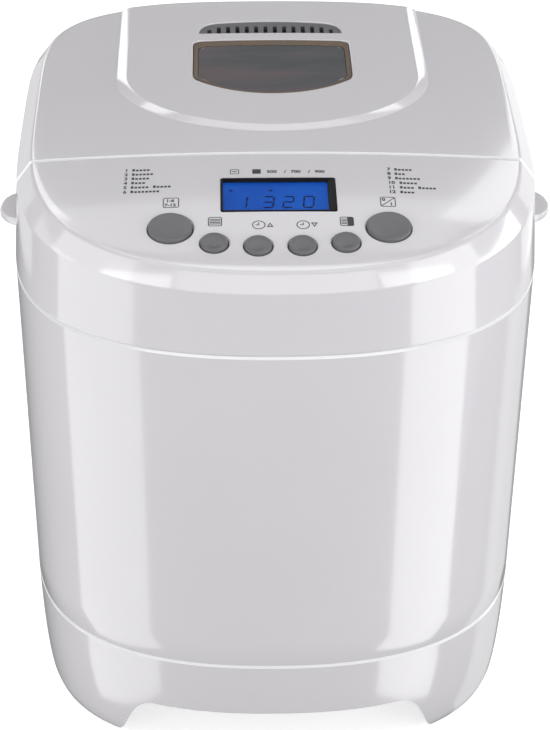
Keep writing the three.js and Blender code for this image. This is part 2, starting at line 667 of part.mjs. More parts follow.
// --- Bread pan --------------------------------------------------------------
// The pan's rounded box between two heights, with its flare, grown by an amount.
function panBlock(grow, z0, z1) {
  const { floor, rim, halfX, halfY, flare, radius } = PAN;
  const settings = { depth: z1 - z0, bevelEnabled: false, curveSegments: 4 };
  const shape = roundedRectangle(halfX + grow, halfY + grow, radius + grow);
  const geometry = new THREE.ExtrudeGeometry(shape, settings).translate(0, 0, z0);
  const points = geometry.getAttribute("position");
  for (let i = 0; i < points.count; i += 1) {
    const spread = (flare * (points.getZ(i) - floor)) / (rim - floor);
    const [x, y] = [points.getX(i), points.getY(i)];
    points.setX(i, x * (1 + spread / halfX));
    points.setY(i, OVEN.y + y * (1 + spread / halfY));
  }
  return solid(geometry);
}

function breadPan() {
  const { floor, rim, sheet } = PAN;
  const rimShape = roundedRectangle(PAN.halfX + 10, PAN.halfY + 9.5, PAN.radius + 8, OVEN.y);
  const footRing = cut(post(0, OVEN.y, OVEN.floor + OVEN.sheet + 0.4, floor + 1, 40, 24),
    post(0, OVEN.y, OVEN.floor, floor, 38, 24));
  let pan = joined(panBlock(0, floor, rim), prism(rimShape, rim - 1.6, rim, 4), footRing);
  for (const side of [-1, 1]) {
    const [near, far] = [side * (PAN.halfX + 3), side * (HANDLE.pivotX + 1)];
    pan = pan.add(rodAlongX(Math.min(near, far), Math.max(near, far), OVEN.y, HANDLE.z, 5.5, 12));
  }
  pan = cut(pan, panBlock(-sheet, floor + sheet, rim + 2), post(0, OVEN.y, floor - 3, floor + 5, 8.4));
  for (const side of [-1, 1]) {
    const [near, far] = [side * (HANDLE.pivotX - 4.2), side * (HANDLE.pivotX + 5)];
    const hole = rodAlongX(Math.min(near, far), Math.max(near, far), OVEN.y, HANDLE.z, HANDLE.radius + 0.4, 10);
    pan = pan.subtract(hole);
  }
  return pan;
}

function panHandle() {
  const { z, pivotX, reach } = HANDLE;
  const [pin, arm] = [pivotX - 3.2, pivotX + 6];
  const half = [
    [pin, OVEN.y], [pivotX + 2, OVEN.y], [arm - 1, OVEN.y - 1.5], [arm, OVEN.y - 6],
    [arm, OVEN.y - reach + 12], [arm - 3, OVEN.y - reach + 3], [arm - 12, OVEN.y - reach],
    [25, OVEN.y - reach],
  ];
  const left = half.map(([x, y]) => [-x, y, z]);
  const right = half.map(([x, y]) => [x, y, z]).reverse();
  return wire([...left, ...right], HANDLE.radius, 40, 6);
}

function panBush() {
  const top = PAN.floor + PAN.sheet + GAP;
  return turned(closedProfile([
    [4.3, PAN.floor - 1.5], [8, PAN.floor - 1.5], [8, top], [13, top], [13, top + 2.4],
    [8, top + 2.4], [6.5, top + 6], [4.3, top + 6],
  ]), 0, OVEN.y, 16);
}

// The shaft's upper end is flattened on one side, and the paddle's bore matches it.
function panShaft() {
  const { radius, top, flat } = PAN_SHAFT;
  const face = block(flat, 8, OVEN.y - 8, OVEN.y + 8, PADDLE.low + 3, top + 1);
  return cut(post(0, OVEN.y, 91.8, top, radius, 16), face);
}

function kneadingPaddle() {
  const { low, high, hub, reach } = PADDLE;
  const blade = new THREE.Shape();
  blade.moveTo(0, low);
  blade.lineTo(reach, low);
  blade.quadraticCurveTo(reach + 2, low + 10, reach - 4, low + 17);
  blade.quadraticCurveTo(reach - 18, high - 2, 0, high - 3);
  const fin = frontProfile(blade, OVEN.y - 3, OVEN.y + 3);
  const bore = cut(
    post(0, OVEN.y, low - 2, high + 9, PAN_SHAFT.radius + 0.35, 16),
    block(PAN_SHAFT.flat + 0.35, 8, OVEN.y - 8, OVEN.y + 8, low + 3.4, high + 10),
  );
  return joined(post(0, OVEN.y, low, high, hub, 20), fin).subtract(bore);
}

function panSeat() {
  const low = OVEN.floor + OVEN.sheet + GAP;
  return turned(closedProfile([
    [41, low], [50, low], [50, low + 1.5], [44, low + 1.5], [44, low + 12], [41, low + 12],
  ]), 0, OVEN.y, 24);
}

add("pan_seat", panSeat(), finishes.steel);
add("bread_pan", breadPan(), finishes.coated);
add("pan_handle", panHandle(), finishes.steel);
add("pan_bush", panBush(), finishes.brass);
add("pan_shaft", panShaft(), finishes.steel);
add("pan_coupler", panCoupler(), finishes.aluminium);
add("kneading_paddle", kneadingPaddle(), finishes.coated);

// --- Electronics ------------------------------------------------------------
function powerBoard() {
  const [back, front] = [-50, -51.6];
  const board = block(18, 88, front, back, 74, 150);
  return joined(
    board,
    block(24, 46, front - 18, front + 0.5, 80, 98),
    block(54, 70, front - 14, front + 0.5, 82, 104),
    rodAlongY(34, front - 20, front + 0.5, 116, 8),
    rodAlongY(58, front - 12, front + 0.5, 122, 5, 12),
    block(72, 84, front - 9, front + 0.5, 116, 128),
    block(40, 60, front - 6, front + 0.5, 138, 146),
  );
}

// The control board lies under the panel, parallel to it at the board's middle.
const boardTilt = Math.atan(topSlope(BOARD.y));
const boardTop = new THREE.Vector3(0, BOARD.y, topHeight(0, BOARD.y) - BOARD.depth);
const boardNormal = new THREE.Vector3(0, -Math.sin(boardTilt), Math.cos(boardTilt));
function panelNormal(y) {
  const tilt = Math.atan(topSlope(y));
  return new THREE.Vector3(0, -Math.sin(tilt), Math.cos(tilt));
}

// The distance from the panel's surface to the control board, along a button's axis.
function depthToBoard({ x, y }) {
  const from = new THREE.Vector3(x, y, topHeight(x, y)).sub(boardTop);
  return from.dot(boardNormal) / panelNormal(y).dot(boardNormal);
}

function controlBoard() {
  const board = block(-BOARD.halfX, BOARD.halfX, -BOARD.halfY, BOARD.halfY, -BOARD.thick, 0);
  const place = new THREE.Matrix4().makeRotationX(boardTilt).setPosition(boardTop);
  let result = solid(geometryOf(board).applyMatrix4(place));
  for (const button of BUTTONS) {
    const depth = depthToBoard(button);
    const switchBody = block(-3, 3, -3, 3, -depth - 1, -depth + BOARD.switchHeight);
    result = result.add(onPanel(switchBody, button.x, button.y));
  }
  return result;
}

function ribbonCable() {
  const shape = new THREE.Shape();
  shape.moveTo(-58.4, 152);
  shape.lineTo(-58.4, 196);
  shape.bezierCurveTo(-58.4, 226, -78, 226, -78, 262);
  shape.lineTo(-77.2, 262);
  shape.bezierCurveTo(-77.2, 227, -57.6, 227, -57.6, 196);
  shape.lineTo(-57.6, 152);
  return sideProfile(shape, 42, 58, 8);
}

function button({ radius }, depth) {
  const under = WALL + 0.8;
  const tip = depth - BOARD.switchHeight - BUTTON.travel - GAP;
  const { proud, flange } = BUTTON;
  return turned([
    [0, -tip], [2.4, -tip], [2.4, -under - 1.4], [radius + flange, -under - 1.4], [radius + flange, -under],
    [radius, -under], [radius, proud - 0.5], [radius - 0.5, proud], [0, proud + 0.3],
  ], 0, 0, 16);
}

add("power_board", powerBoard(), finishes.board);
add("motor_capacitor", post(48, -96, CHASSIS_Z + 2.5 + GAP, 112, 14, 24), finishes.darkPlastic);
add("control_board", controlBoard(), finishes.board);
add("ribbon_cable", ribbonCable(), finishes.silicone);

const panel = new THREE.Group();
machine.add(panel);

function addOnPanel(name, manifold, finish, x, y) {
  const mesh = add(name, manifold, finish, panel);
  mesh.position.set(x, y, topHeight(x, y));
  mesh.rotation.x = Math.atan(topSlope(y));
}

for (const spec of BUTTONS) {
  addOnPanel(spec.name, button(spec, depthToBoard(spec)), finishes.grey, spec.x, spec.y);
}
const [lensX, lensY] = [DISPLAY.halfX - GAP, DISPLAY.halfY - GAP];
addOnPanel("display_lens", block(-lensX, lensX, -lensY, lensY, -WALL, -0.3), finishes.glass, 0, DISPLAY.y);
const displayBody = joined(
  block(-lensX - 4, lensX + 4, -lensY - 3, lensY + 3, -8.8, -WALL - 1.4),
  block(-lensX - 4, lensX - 20, -lensY - 3, lensY + 3, -9.4, -8),
);
addOnPanel("display_module", displayBody, finishes.display, 0, DISPLAY.y);

// --- Lid --------------------------------------------------------------------
function lidArm(side) {
  const centre = side * HINGE.arm;
  const [x0, x1] = [centre - HINGE.halfArm, centre + HINGE.halfArm];
  const stem = block(x0, x1, HINGE.y - 5.6, HINGE.y + 7.4, HINGE.z, 301).intersect(upperBody(200, 1));
  return joined(rodAlongX(x0, x1, HINGE.y, HINGE.z, HINGE.knuckle, 16), stem);
}

function lidGrip(side) {
  const shape = new THREE.Shape();
  const inner = HALF_WIDTH - 4;
  shape.absellipse(side * inner, GRIP.y, GRIP.reach - inner, GRIP.halfY, 0, 2 * Math.PI, false);
  return prism(shape, GRIP.low, GRIP.high, 12).subtract(upperBody(200, WALL - 0.5));
}

function lidShell() {
  const zone = new THREE.Shape([
    new THREE.Vector2(LID_FRONT_Y + GAP, 400),
    new THREE.Vector2(LID_FRONT_Y + GAP, lidPlane(LID_FRONT_Y + GAP)),
    new THREE.Vector2(200, lidPlane(200)),
    new THREE.Vector2(200, 400),
  ]);
  const hollow = upperBody(200, WALL).intersect(block(-150, 150, LID_FRONT_Y + GAP + WALL, 200, 200, 400));
  const padBody = prism(padShape(), 270, 330, 14)
    .intersect(underTop(-PAD.rise))
    .intersect(loft([
      { side: 0, z: 200 },
      { side: CHAMFER_INNER.end - 0.6, z: 302 },
      { side: CHAMFER_INNER.end + 2, z: 330 },
    ]))
    .subtract(underTop(1));
  let shell = upperBody(200, 0).intersect(sideProfile(zone, -160, 160));
  shell = joined(shell.subtract(hollow), padBody, lidGrip(-1), lidGrip(1));
  for (const [x, y] of LID_SCREWS) {
    const low = LID_LINER.low + LID_LINER.sheet + 0.4;
    const boss = prism(new THREE.Shape().absarc(x, alongLid(y), 4.5, 0, 2 * Math.PI, false), low, 44, 8);
    const hole = new THREE.Shape().absarc(x, alongLid(y), 1.9, 0, 2 * Math.PI, false);
    const bore = prism(hole, low - 1, low + 15, 5);
    shell = shell.add(inLidPlane(boss).intersect(upperBody(200, 1))).subtract(inLidPlane(bore));
  }
  shell = joined(shell, lidArm(-1), lidArm(1));
  shell = shell.subtract(prism(windowShape(0), 240, 330, 8));
  shell = shell.subtract(prism(ventShape(0), 240, 330, 8));
  const pinHole = rodAlongX(-100, 100, HINGE.y, HINGE.z, HINGE.pin + 0.4);
  return shell.subtract(pinHole);
}

function lidLiner() {
  const { halfX, halfY, radius, low, sheet, rim } = LID_LINER;
  const middle = alongLid(OVEN.y);
  const tray = cut(
    prism(roundedRectangle(halfX, halfY, radius, middle), low, low + rim, 4),
    prism(
      roundedRectangle(halfX - sheet, halfY - sheet, radius - sheet, middle), low + sheet, low + rim + 2, 4,
    ),
  );
  const screws = LID_SCREWS.map(([x, y]) => post(x, alongLid(y), 0, 20, 2.1, 10));
  const glass = roundedRectangle(INNER_GLASS.halfX, INNER_GLASS.halfY, 4, alongLid(INNER_GLASS.y));
  const view = prism(glass, 0, 30, 3);
  const steam = block(-30, 30, alongLid(95), alongLid(101), 0, 30);
  return cut(tray, view, steam, ...screws);
}

function innerGlass() {
  const { halfX, halfY, y } = INNER_GLASS;
  const shape = roundedRectangle(halfX - GAP, halfY - GAP, 3.7, alongLid(y));
  return prism(shape, LID_LINER.low - 0.2, LID_LINER.low + 3, 3);
}

function lidGasket() {
  const middle = alongLid(OVEN.y);
  return cut(
    prism(roundedRectangle(95, 72.5, 26, middle), 0.3, LID_LINER.low - GAP, 4),
    prism(roundedRectangle(91.8, 69.3, 23, middle), 0, LID_LINER.low, 4),
  );
}

function lidScrew([x, y]) {
  const { low, sheet } = LID_LINER;
  const top = low + sheet + 12;
  return turned([
    [0, low - 2.4], [3.4, low - 2.4], [3.4, low - GAP], [1.5, low - GAP], [1.5, top], [0, top],
  ], x, alongLid(y), 10);
}

function ventGrille() {
  let grille = topSheet(ventShape(GAP), -2, 0.8);
  const { slots, pitch } = VENT;
  for (let i = 0; i < slots; i += 1) {
    const x = (i - (slots - 1) / 2) * pitch;
    const short = i === 0 || i === slots - 1 ? 4 : 0;
    grille = grille.subtract(block(x - 1, x + 1, VENT.frontY + 2.4, VENT.backY - 3.8 - short, 240, 330));
  }
  return grille;
}

function hingePin(side) {
  const centre = side * HINGE.arm;
  const half = HINGE.halfArm + 3.4;
  return rodAlongX(centre - half, centre + half, HINGE.y, HINGE.z, HINGE.pin, 12);
}

add("lid_shell", lidShell(), finishes.white);
const sealRing = topSheet(windowShape(GAP), -2.4, 1.8).subtract(prism(windowShape(2.6), 240, 330, 8));
add("window_seal", sealRing, finishes.seal);
add("window_glass", topSheet(windowShape(2.6 + GAP), -1.8, 1), finishes.glass);
add("vent_grille", ventGrille(), finishes.grey);
add("hinge_pin_left", hingePin(-1), finishes.steel);
add("hinge_pin_right", hingePin(1), finishes.steel);
add("lid_liner", lidLiner(), finishes.aluminium, underLid);
add("inner_glass", innerGlass(), finishes.glass, underLid);
add("lid_gasket", lidGasket(), finishes.silicone, underLid);
LID_SCREWS.forEach((place, i) => add(`lid_screw_${i + 1}`, lidScrew(place), finishes.steel, underLid));

export default machine;
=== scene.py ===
"""The looks of a white bread machine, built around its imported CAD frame.

Shapes are worked out in millimetres and turned into metres when a mesh is made.
"""
import json
import math

import bmesh
import bpy
import numpy as np
from mathutils import Matrix, Vector


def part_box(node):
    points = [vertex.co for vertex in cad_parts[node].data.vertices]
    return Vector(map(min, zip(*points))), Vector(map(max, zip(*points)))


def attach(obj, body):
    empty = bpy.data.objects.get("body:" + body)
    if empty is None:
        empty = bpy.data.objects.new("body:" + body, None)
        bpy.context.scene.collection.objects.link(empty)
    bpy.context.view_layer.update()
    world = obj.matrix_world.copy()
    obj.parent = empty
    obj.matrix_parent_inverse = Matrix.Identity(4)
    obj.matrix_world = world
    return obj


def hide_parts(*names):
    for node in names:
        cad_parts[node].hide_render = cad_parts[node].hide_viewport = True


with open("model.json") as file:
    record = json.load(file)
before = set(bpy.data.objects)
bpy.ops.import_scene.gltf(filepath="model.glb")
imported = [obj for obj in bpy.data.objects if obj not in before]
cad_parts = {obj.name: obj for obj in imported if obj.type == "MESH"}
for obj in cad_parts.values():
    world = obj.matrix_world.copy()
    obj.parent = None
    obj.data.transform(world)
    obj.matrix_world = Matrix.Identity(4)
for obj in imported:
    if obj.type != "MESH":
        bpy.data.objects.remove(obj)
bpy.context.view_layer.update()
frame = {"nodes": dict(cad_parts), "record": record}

MM = 0.001
scene = bpy.context.scene
scene.view_settings.view_transform = "Standard"

# ---- Dimensions, in millimetres, read from the frame where a node shows them ----


def node_box(node):
    low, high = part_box(node)
    return low / MM, high / MM


MID_LOW, MID_HIGH = node_box("mid_casing")
TOP_LOW, _ = node_box("top_casing")

HALF_WIDTH = (MID_HIGH.x - MID_LOW.x) / 2
HALF_DEPTH = (MID_HIGH.y - MID_LOW.y) / 2
WIDE_Y = 2.5
FRONT_POWERS = (2.29, 3.43)
BACK_POWERS = (3.8, 5.6)
OUTLINE_POINTS = 320

WALL = 2.6
GAP = 0.3
DRAFT_SIDE, DRAFT_END = 2.3, 1.3  # how far the middle casing's foot lies inside its top
SEAM_GAP = 0.6
SEAM_RISE = 0.55  # the inner step that stands above a seam's lip
LIP_SIZE = 1.05
LIP_ROUND = 0.14

# The top's height: a level less an ease towards the front, less the crown across it
TOP_LEVEL = 307.3
TOP_RISE = 20.1
TOP_EASE = 72.5
TOP_START_Y = -127
CROWN_RADIUS = 1734

# The chamfer round the top: insets at the sides and at the front and back, and its height
CHAMFER_OUTER = np.array((2.3, 3.8))
CHAMFER_INNER = np.array((9.6, 7.4))
CHAMFER_DROP = 10.2
EDGE_RADIUS = 0.9

LID_FRONT_Y = -40.5
LID_PLANE_Z = 258
LID_SLOPE = 9 / 166.5
HINGE_Y, HINGE_Z = 126, 255.5
HINGE_ARM, HALF_ARM, KNUCKLE, PIN_RADIUS = 72, 6.6, 6, 2.4
BEAD_RADIUS = 10.8
WINDOW_CENTRE = (0, 48)

DISPLAY_Y = -74.9
DISPLAY_X_HALF, DISPLAY_Y_HALF = 26.9, 13.6
PANEL_EDGE_Y = LID_FRONT_Y - GAP
LID_EDGE_Y = LID_FRONT_Y + GAP

BEYOND = 160  # half the length of a cutter that runs past the whole machine
ABOVE = 400  # a height over everything


# ---- Mesh tools ----


def mesh_piece(name, points, faces):
    """A mesh object from points in millimetres, with its faces turned outwards."""
    mesh = bpy.data.meshes.new(name)
    mesh.from_pydata([tuple(MM * value for value in point) for point in points], [], faces)
    piece = bpy.data.objects.new(name, mesh)
    scene.collection.objects.link(piece)
    return clean(piece)


def clean(piece):
    """Welds a mesh's double points and turns its faces outwards."""
    shape = bmesh.new()
    shape.from_mesh(piece.data)
    bmesh.ops.remove_doubles(shape, verts=shape.verts, dist=2e-6)
    bmesh.ops.recalc_face_normals(shape, faces=shape.faces)
    if shape.calc_volume(signed=True) < 0:
        bmesh.ops.reverse_faces(shape, faces=shape.faces)
    shape.to_mesh(piece.data)
    shape.free()
    return piece


def stacked(rings, loop=False):
    """Faces between rings of equal length, capped at both ends or closed into a loop."""
    count = len(rings[0])
    points = [point for ring in rings for point in ring]
    faces = []
    for level in range(len(rings) if loop else len(rings) - 1):
        here, there = level * count, ((level + 1) % len(rings)) * count
        for i in range(count):
            j = (i + 1) % count
            faces.append((here + i, here + j, there + j, there + i))
    if not loop:
        faces.append(tuple(range(count))[::-1])
        faces.append(tuple(range(len(points) - count, len(points))))
    return points, faces


def prism(shape, low, high):
    """A plan shape, as x and y pairs, between two heights."""
    return mesh_piece("prism", *stacked([[(x, y, z) for x, y in shape] for z in (low, high)]))


def side_prism(profile, low, high):
    """A profile in y and z between two x values."""
    return mesh_piece("side", *stacked([[(x, y, z) for y, z in profile] for x in (low, high)]))


def front_prism(profile, low, high):
    """A profile in x and z between two y values."""
    return mesh_piece("front", *stacked([[(x, y, z) for x, z in profile] for y in (low, high)]))


def block(x0, x1, y0, y1, z0, z1):
    """A box cutter or a short bar between two corners."""
    return prism([(x0, y0), (x1, y0), (x1, y1), (x0, y1)], z0, z1)


def circle(radius, count=32, x=0, y=0):
    turns = [2 * math.pi * i / count for i in range(count)]
    return [(x + radius * math.cos(turn), y + radius * math.sin(turn)) for turn in turns]


def arc(x, y, radius, start, end, count=10):
    turns = [math.radians(start + (end - start) * i / count) for i in range(count + 1)]
    return [(x + radius * math.cos(turn), y + radius * math.sin(turn)) for turn in turns]


def bezier(points, count=12):
    """A quadratic or cubic curve through its control points."""
    result = []
    for step in range(count + 1):
        t = step / count
        row = [np.array(point, float) for point in points]
        while len(row) > 1:
            row = [(1 - t) * a + t * b for a, b in zip(row, row[1:])]
        result.append(tuple(row[0]))
    return result


def turned(name, profile, count=48):
    """A round piece from radius and height pairs, closed flat at both ends."""
    rings = [[(x, y, z) for x, y in circle(radius, count)] for radius, z in profile]
    return mesh_piece(name, *stacked(rings))


def merge(target, other, operation):
    """A boolean with a second piece, which is used up."""
    modifier = target.modifiers.new("boolean", "BOOLEAN")
    modifier.object = other
    modifier.operation = operation
    modifier.solver = "MANIFOLD"
    evaluated = target.evaluated_get(bpy.context.evaluated_depsgraph_get())
    result = bpy.data.meshes.new_from_object(evaluated)
    if len(result.polygons) == 0:
        raise RuntimeError(f"the boolean left nothing of {target.name}")
    target.modifiers.clear()
    target.data = result
    bpy.data.objects.remove(other)
    return target


def cut(target, *others):
    for other in others:
        merge(target, other, "DIFFERENCE")
    return target


def join(target, *others):
    for other in others:
        merge(target, other, "UNION")
    return target


def keep(target, other):
    return merge(target, other, "INTERSECT")


def finish(piece, name, body, material, replaces=(), angle=28):
    """Names a piece, smooths it up to an angle and ties it to the frame."""
    clean(piece)
    piece.name = name
    piece.data.shade_smooth()
    piece.data.set_sharp_from_angle(angle=math.radians(angle))
    piece.data.materials.clear()
    piece.data.materials.append(material)
    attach(piece, body)
    if replaces:
        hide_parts(*replaces)
    return piece


# ---- The outer form ----


def outline():
    """The plan outline, two superellipse halves, as evenly spaced points."""
    turns = np.linspace(0, 2 * np.pi, 6001) + np.pi / 2
    c, s = np.cos(turns), np.sin(turns)
    front = s < 0
    power_x = np.where(front, FRONT_POWERS[0], BACK_POWERS[0])
    power_y = np.where(front, FRONT_POWERS[1], BACK_POWERS[1])
    reach = np.where(front, HALF_DEPTH + WIDE_Y, HALF_DEPTH - WIDE_Y)
    x = HALF_WIDTH * np.sign(c) * np.abs(c) ** (2 / power_x)
    y = WIDE_Y + reach * np.sign(s) * np.abs(s) ** (2 / power_y)
    length = np.concatenate([[0], np.cumsum(np.hypot(np.diff(x), np.diff(y)))])
    wanted = np.linspace(0, length[-1], OUTLINE_POINTS + 1)[:-1]
    return np.interp(wanted, length, x), np.interp(wanted, length, y)


OUTLINE = outline()


def top_height(x, y):
    return TOP_LEVEL - TOP_RISE * np.exp(-(y - TOP_START_Y) / TOP_EASE) - x * x / (2 * CROWN_RADIUS)


def top_slope(y):
    return TOP_RISE / TOP_EASE * math.exp(-(y - TOP_START_Y) / TOP_EASE)


def lid_plane(y):
    return LID_PLANE_Z + LID_SLOPE * (y - LID_FRONT_Y)


def inset(side, end=None):
    """The outline moved inwards, by one amount at the sides and another at the front and back."""
    x, y = OUTLINE
    end = side if end is None else end
    reach = np.where(y < WIDE_Y, HALF_DEPTH + WIDE_Y, HALF_DEPTH - WIDE_Y)
    return x * (HALF_WIDTH - side) / HALF_WIDTH, WIDE_Y + (y - WIDE_Y) * (reach - end) / reach


def ring(side, z, end=None):
    x, y = inset(side, end)
    height = np.broadcast_to(z(x, y) if callable(z) else z, x.shape)
    return list(zip(x, y, height))


def loft(levels):
    """A solid through levels of side inset, end inset and height."""
    return mesh_piece("loft", *stacked([ring(side, z, end) for side, end, z in levels]))


def band(name, levels):
    """A closed wall whose section is a loop of levels."""
    return mesh_piece(name, *stacked([ring(side, z, end) for side, end, z in levels], loop=True))


def ring_at(side, end, heights):
    """The inset outline with a height of its own for each point."""
    return list(zip(*inset(side, end), heights))


def upper_foot(bottom, wall, seam):
    """The lowest rings of the upper housing, bevelled where they meet the seam."""
    if not seam:
        return [ring(wall, bottom)]
    return [ring(wall + 0.9, bottom), ring(wall + 0.3, bottom + 0.15), ring(wall, bottom + 0.8)]


def upper_cap(edge, rise):
    """Rings over the curved top, from its rounded edge to a point near the window."""
    edge_x, edge_y = inset(*edge)
    centre_x, centre_y = WINDOW_CENTRE
    rings = []
    for share in np.linspace(0, 1, 42)[1:-1]:
        x = edge_x + (centre_x - edge_x) * share
        y = edge_y + (centre_y - edge_y) * share
        rings.append(list(zip(x, y, top_height(x, y) + rise)))
    return rings


def upper_body(bottom, wall=0.0, lift=0.0, seam=True):
    """The upper housing as a solid: walls, chamfer and curved top, shrunk by a wall or lifted."""
    corner = top_height(*inset(*CHAMFER_INNER)) - wall / 2
    low = corner - CHAMFER_DROP
    run = (CHAMFER_INNER - CHAMFER_OUTER) / CHAMFER_DROP
    lean = CHAMFER_OUTER / (float(low.mean()) - bottom)
    inner = CHAMFER_INNER + run * lift + wall
    span = 1.4 * EDGE_RADIUS
    rings = upper_foot(bottom, wall, seam)
    start, end = CHAMFER_OUTER - span * lean, CHAMFER_OUTER + span * run
    for side, front, rise in bezier([(*start, -span), (*CHAMFER_OUTER, 0), (*end, span)], 6):
        rings.append(ring_at(side + wall, front + wall, low + rise))
    for t in np.arange(7) / 6:
        side, front = (1 - t) ** 2 * (inner - span * run) + 2 * t * (1 - t) * inner + t * t * (inner + span)
        flat = top_height(*inset(side, front)) + lift - wall
        rising = corner + lift - wall / 2 - span
        rings.append(ring_at(side, front, (1 - t) ** 2 * rising + (1 - (1 - t) ** 2) * flat))
    rings += upper_cap(inner + span, lift - wall)
    return mesh_piece("upper", *stacked(rings))


def half_width_at(y, side, end):
    """Half the width of the inset outline at a place along Y."""
    front = y < WIDE_Y
    power_x, power_y = FRONT_POWERS if front else BACK_POWERS
    reach = (HALF_DEPTH + WIDE_Y if front else HALF_DEPTH - WIDE_Y) - end
    s = (abs(y - WIDE_Y) / reach) ** (power_y / 2)
    return (HALF_WIDTH - side) * math.sqrt(1 - s * s) ** (2 / power_x)


def seam_bevel(y, along, depth):
    """A cutter that bevels the edge at y over the walls, chamfer and top.

    The bevel reaches along Y by one amount, where the sign gives its side, and goes down by another."""
    outer, inner = half_width_at(y, *CHAMFER_OUTER), half_width_at(y, *CHAMFER_INNER)
    low = float(top_height(inner, y)) - CHAMFER_DROP
    wall_run, wall_lean = 22, 0.6
    path = [(outer + wall_lean, low - wall_run), (outer, low)]
    path += [(x, float(top_height(x, y))) for x in np.linspace(inner, -inner, 33)]
    path += [(-outer, low), (-outer - wall_lean, low - wall_run)]
    section = ((1.4 * along, 0.4 * depth), (-0.4 * along, -1.4 * depth), (-0.4 * along, 0.4 * depth))
    rings = []
    for i, (x, z) in enumerate(path):
        (x0, z0), (x1, z1) = path[max(i - 1, 0)], path[min(i + 1, len(path) - 1)]
        length = math.hypot(x1 - x0, z1 - z0)
        out_x, out_z = (z0 - z1) / length, (x1 - x0) / length
        if out_z < 0 or (abs(out_z) < 0.05 and out_x * x < 0):
            out_x, out_z = -out_x, -out_z
        rings.append([(x + out_x * n, y + v, z + out_z * n) for v, n in section])
    return mesh_piece("bevel", *stacked(rings))


def lid_space(wall):
    """The space that the lid takes out of the upper housing, with a round bead along the hinge."""
    front = LID_FRONT_Y - GAP - wall
    sink = SEAM_GAP + wall
    bead = arc(HINGE_Y, HINGE_Z, BEAD_RADIUS - wall, 90, 0, 16)
    profile = [(front, ABOVE), (front, lid_plane(front) - sink), *bead, (200, HINGE_Z), (200, ABOVE)]
    return side_prism(profile, -BEYOND, BEYOND)


def rounded_rectangle(half_x, half_y, radius, x=0, y=0, count=8):
    corners = [(1, 1, 0), (-1, 1, 90), (-1, -1, 180), (1, -1, 270)]
    points = []
    for side, end, start in corners:
        centre = (x + side * (half_x - radius), y + end * (half_y - radius))
        points += arc(*centre, radius, start, start + 90, count)
    return points


# ---- Materials ----


def new_material(name):
    material = bpy.data.materials.new(name)
    material.use_nodes = True
    return material


def shader_of(material):
    return material.node_tree.nodes["Principled BSDF"]


def noise(material, scale, detail, stretch=None):
    """A noise pattern's value over the piece, stretched along its axes where asked."""
    nodes, links = material.node_tree.nodes, material.node_tree.links
    vector = nodes.new("ShaderNodeTexCoord").outputs["Object"]
    if stretch is not None:
        mapping = nodes.new("ShaderNodeMapping")
        mapping.inputs["Scale"].default_value = stretch
        links.new(vector, mapping.inputs["Vector"])
        vector = mapping.outputs["Vector"]
    pattern = nodes.new("ShaderNodeTexNoise")
    pattern.inputs["Scale"].default_value = scale
    pattern.inputs["Detail"].default_value = detail
    links.new(vector, pattern.inputs["Vector"])
    return pattern.outputs["Fac"]


def mixed_colour(material, factor, dark, light):
    """A colour between two, by a pattern's value."""
    nodes, links = material.node_tree.nodes, material.node_tree.links
    colours = nodes.new("ShaderNodeMix")
    colours.data_type = "RGBA"
    colours.inputs["A"].default_value = (*dark, 1)
    colours.inputs["B"].default_value = (*light, 1)
    links.new(factor, colours.inputs["Factor"])
    return colours.outputs["Result"]


def uneven_gloss(material, factor, low, high):
    """Roughness between two values, by a pattern's value."""
    nodes, links = material.node_tree.nodes, material.node_tree.links
    gloss = nodes.new("ShaderNodeMapRange")
    gloss.inputs["To Min"].default_value = low
    gloss.inputs["To Max"].default_value = high
    links.new(factor, gloss.inputs["Value"])
    links.new(gloss.outputs["Result"], shader_of(material).inputs["Roughness"])


def relief(material, factor, strength, distance):
    """A fine relief of the surface, by a pattern's value."""
    nodes, links = material.node_tree.nodes, material.node_tree.links
    bumps = nodes.new("ShaderNodeBump")
    bumps.inputs["Strength"].default_value = strength
    bumps.inputs["Distance"].default_value = distance
    links.new(factor, bumps.inputs["Height"])
    links.new(bumps.outputs["Normal"], shader_of(material).inputs["Normal"])


def plastic(name, dark, light, roughness, grain=900.0, bump=0.02, coat=0.0, specular=0.5):
    """Moulded plastic: a faint mottled colour, a slightly uneven gloss and a fine moulded grain."""
    material = new_material(name)
    shader = shader_of(material)
    mottle = noise(material, 18.0, 3.0)
    colour = mixed_colour(material, mottle, dark, light)
    material.node_tree.links.new(colour, shader.inputs["Base Color"])
    uneven_gloss(material, mottle, roughness * 0.9, roughness * 1.1)
    relief(material, noise(material, grain, 2.0), bump, 0.0004)
    shader.inputs["Coat Weight"].default_value = coat
    shader.inputs["Coat Roughness"].default_value = 0.04
    shader.inputs["Specular IOR Level"].default_value = specular
    return material


def metal(name, dark, light, roughness, stretch=(1.0, 1.0, 1.0), scale=400.0, bump=0.05, metallic=1.0):
    """Metal with a drawn or cast grain, worn a little lighter along the grain."""
    material = new_material(name)
    shader = shader_of(material)
    shader.inputs["Metallic"].default_value = metallic
    grain = noise(material, scale, 4.0, stretch)
    colour = mixed_colour(material, grain, dark, light)
    material.node_tree.links.new(colour, shader.inputs["Base Color"])
    uneven_gloss(material, grain, roughness * 0.75, roughness * 1.25)
    relief(material, grain, bump, 0.0005)
    return material


def glowing(name, low, high, strength):
    """A backlit screen: a blue that varies softly over its width, giving off its own light."""
    material = new_material(name)
    shader = shader_of(material)
    colour = mixed_colour(material, noise(material, 35.0, 1.0), low, high)
    material.node_tree.links.new(colour, shader.inputs["Base Color"])
    material.node_tree.links.new(colour, shader.inputs["Emission Color"])
    shader.inputs["Emission Strength"].default_value = strength
    shader.inputs["Roughness"].default_value = 0.25
    shader.inputs["Specular IOR Level"].default_value = 0.15
    return material


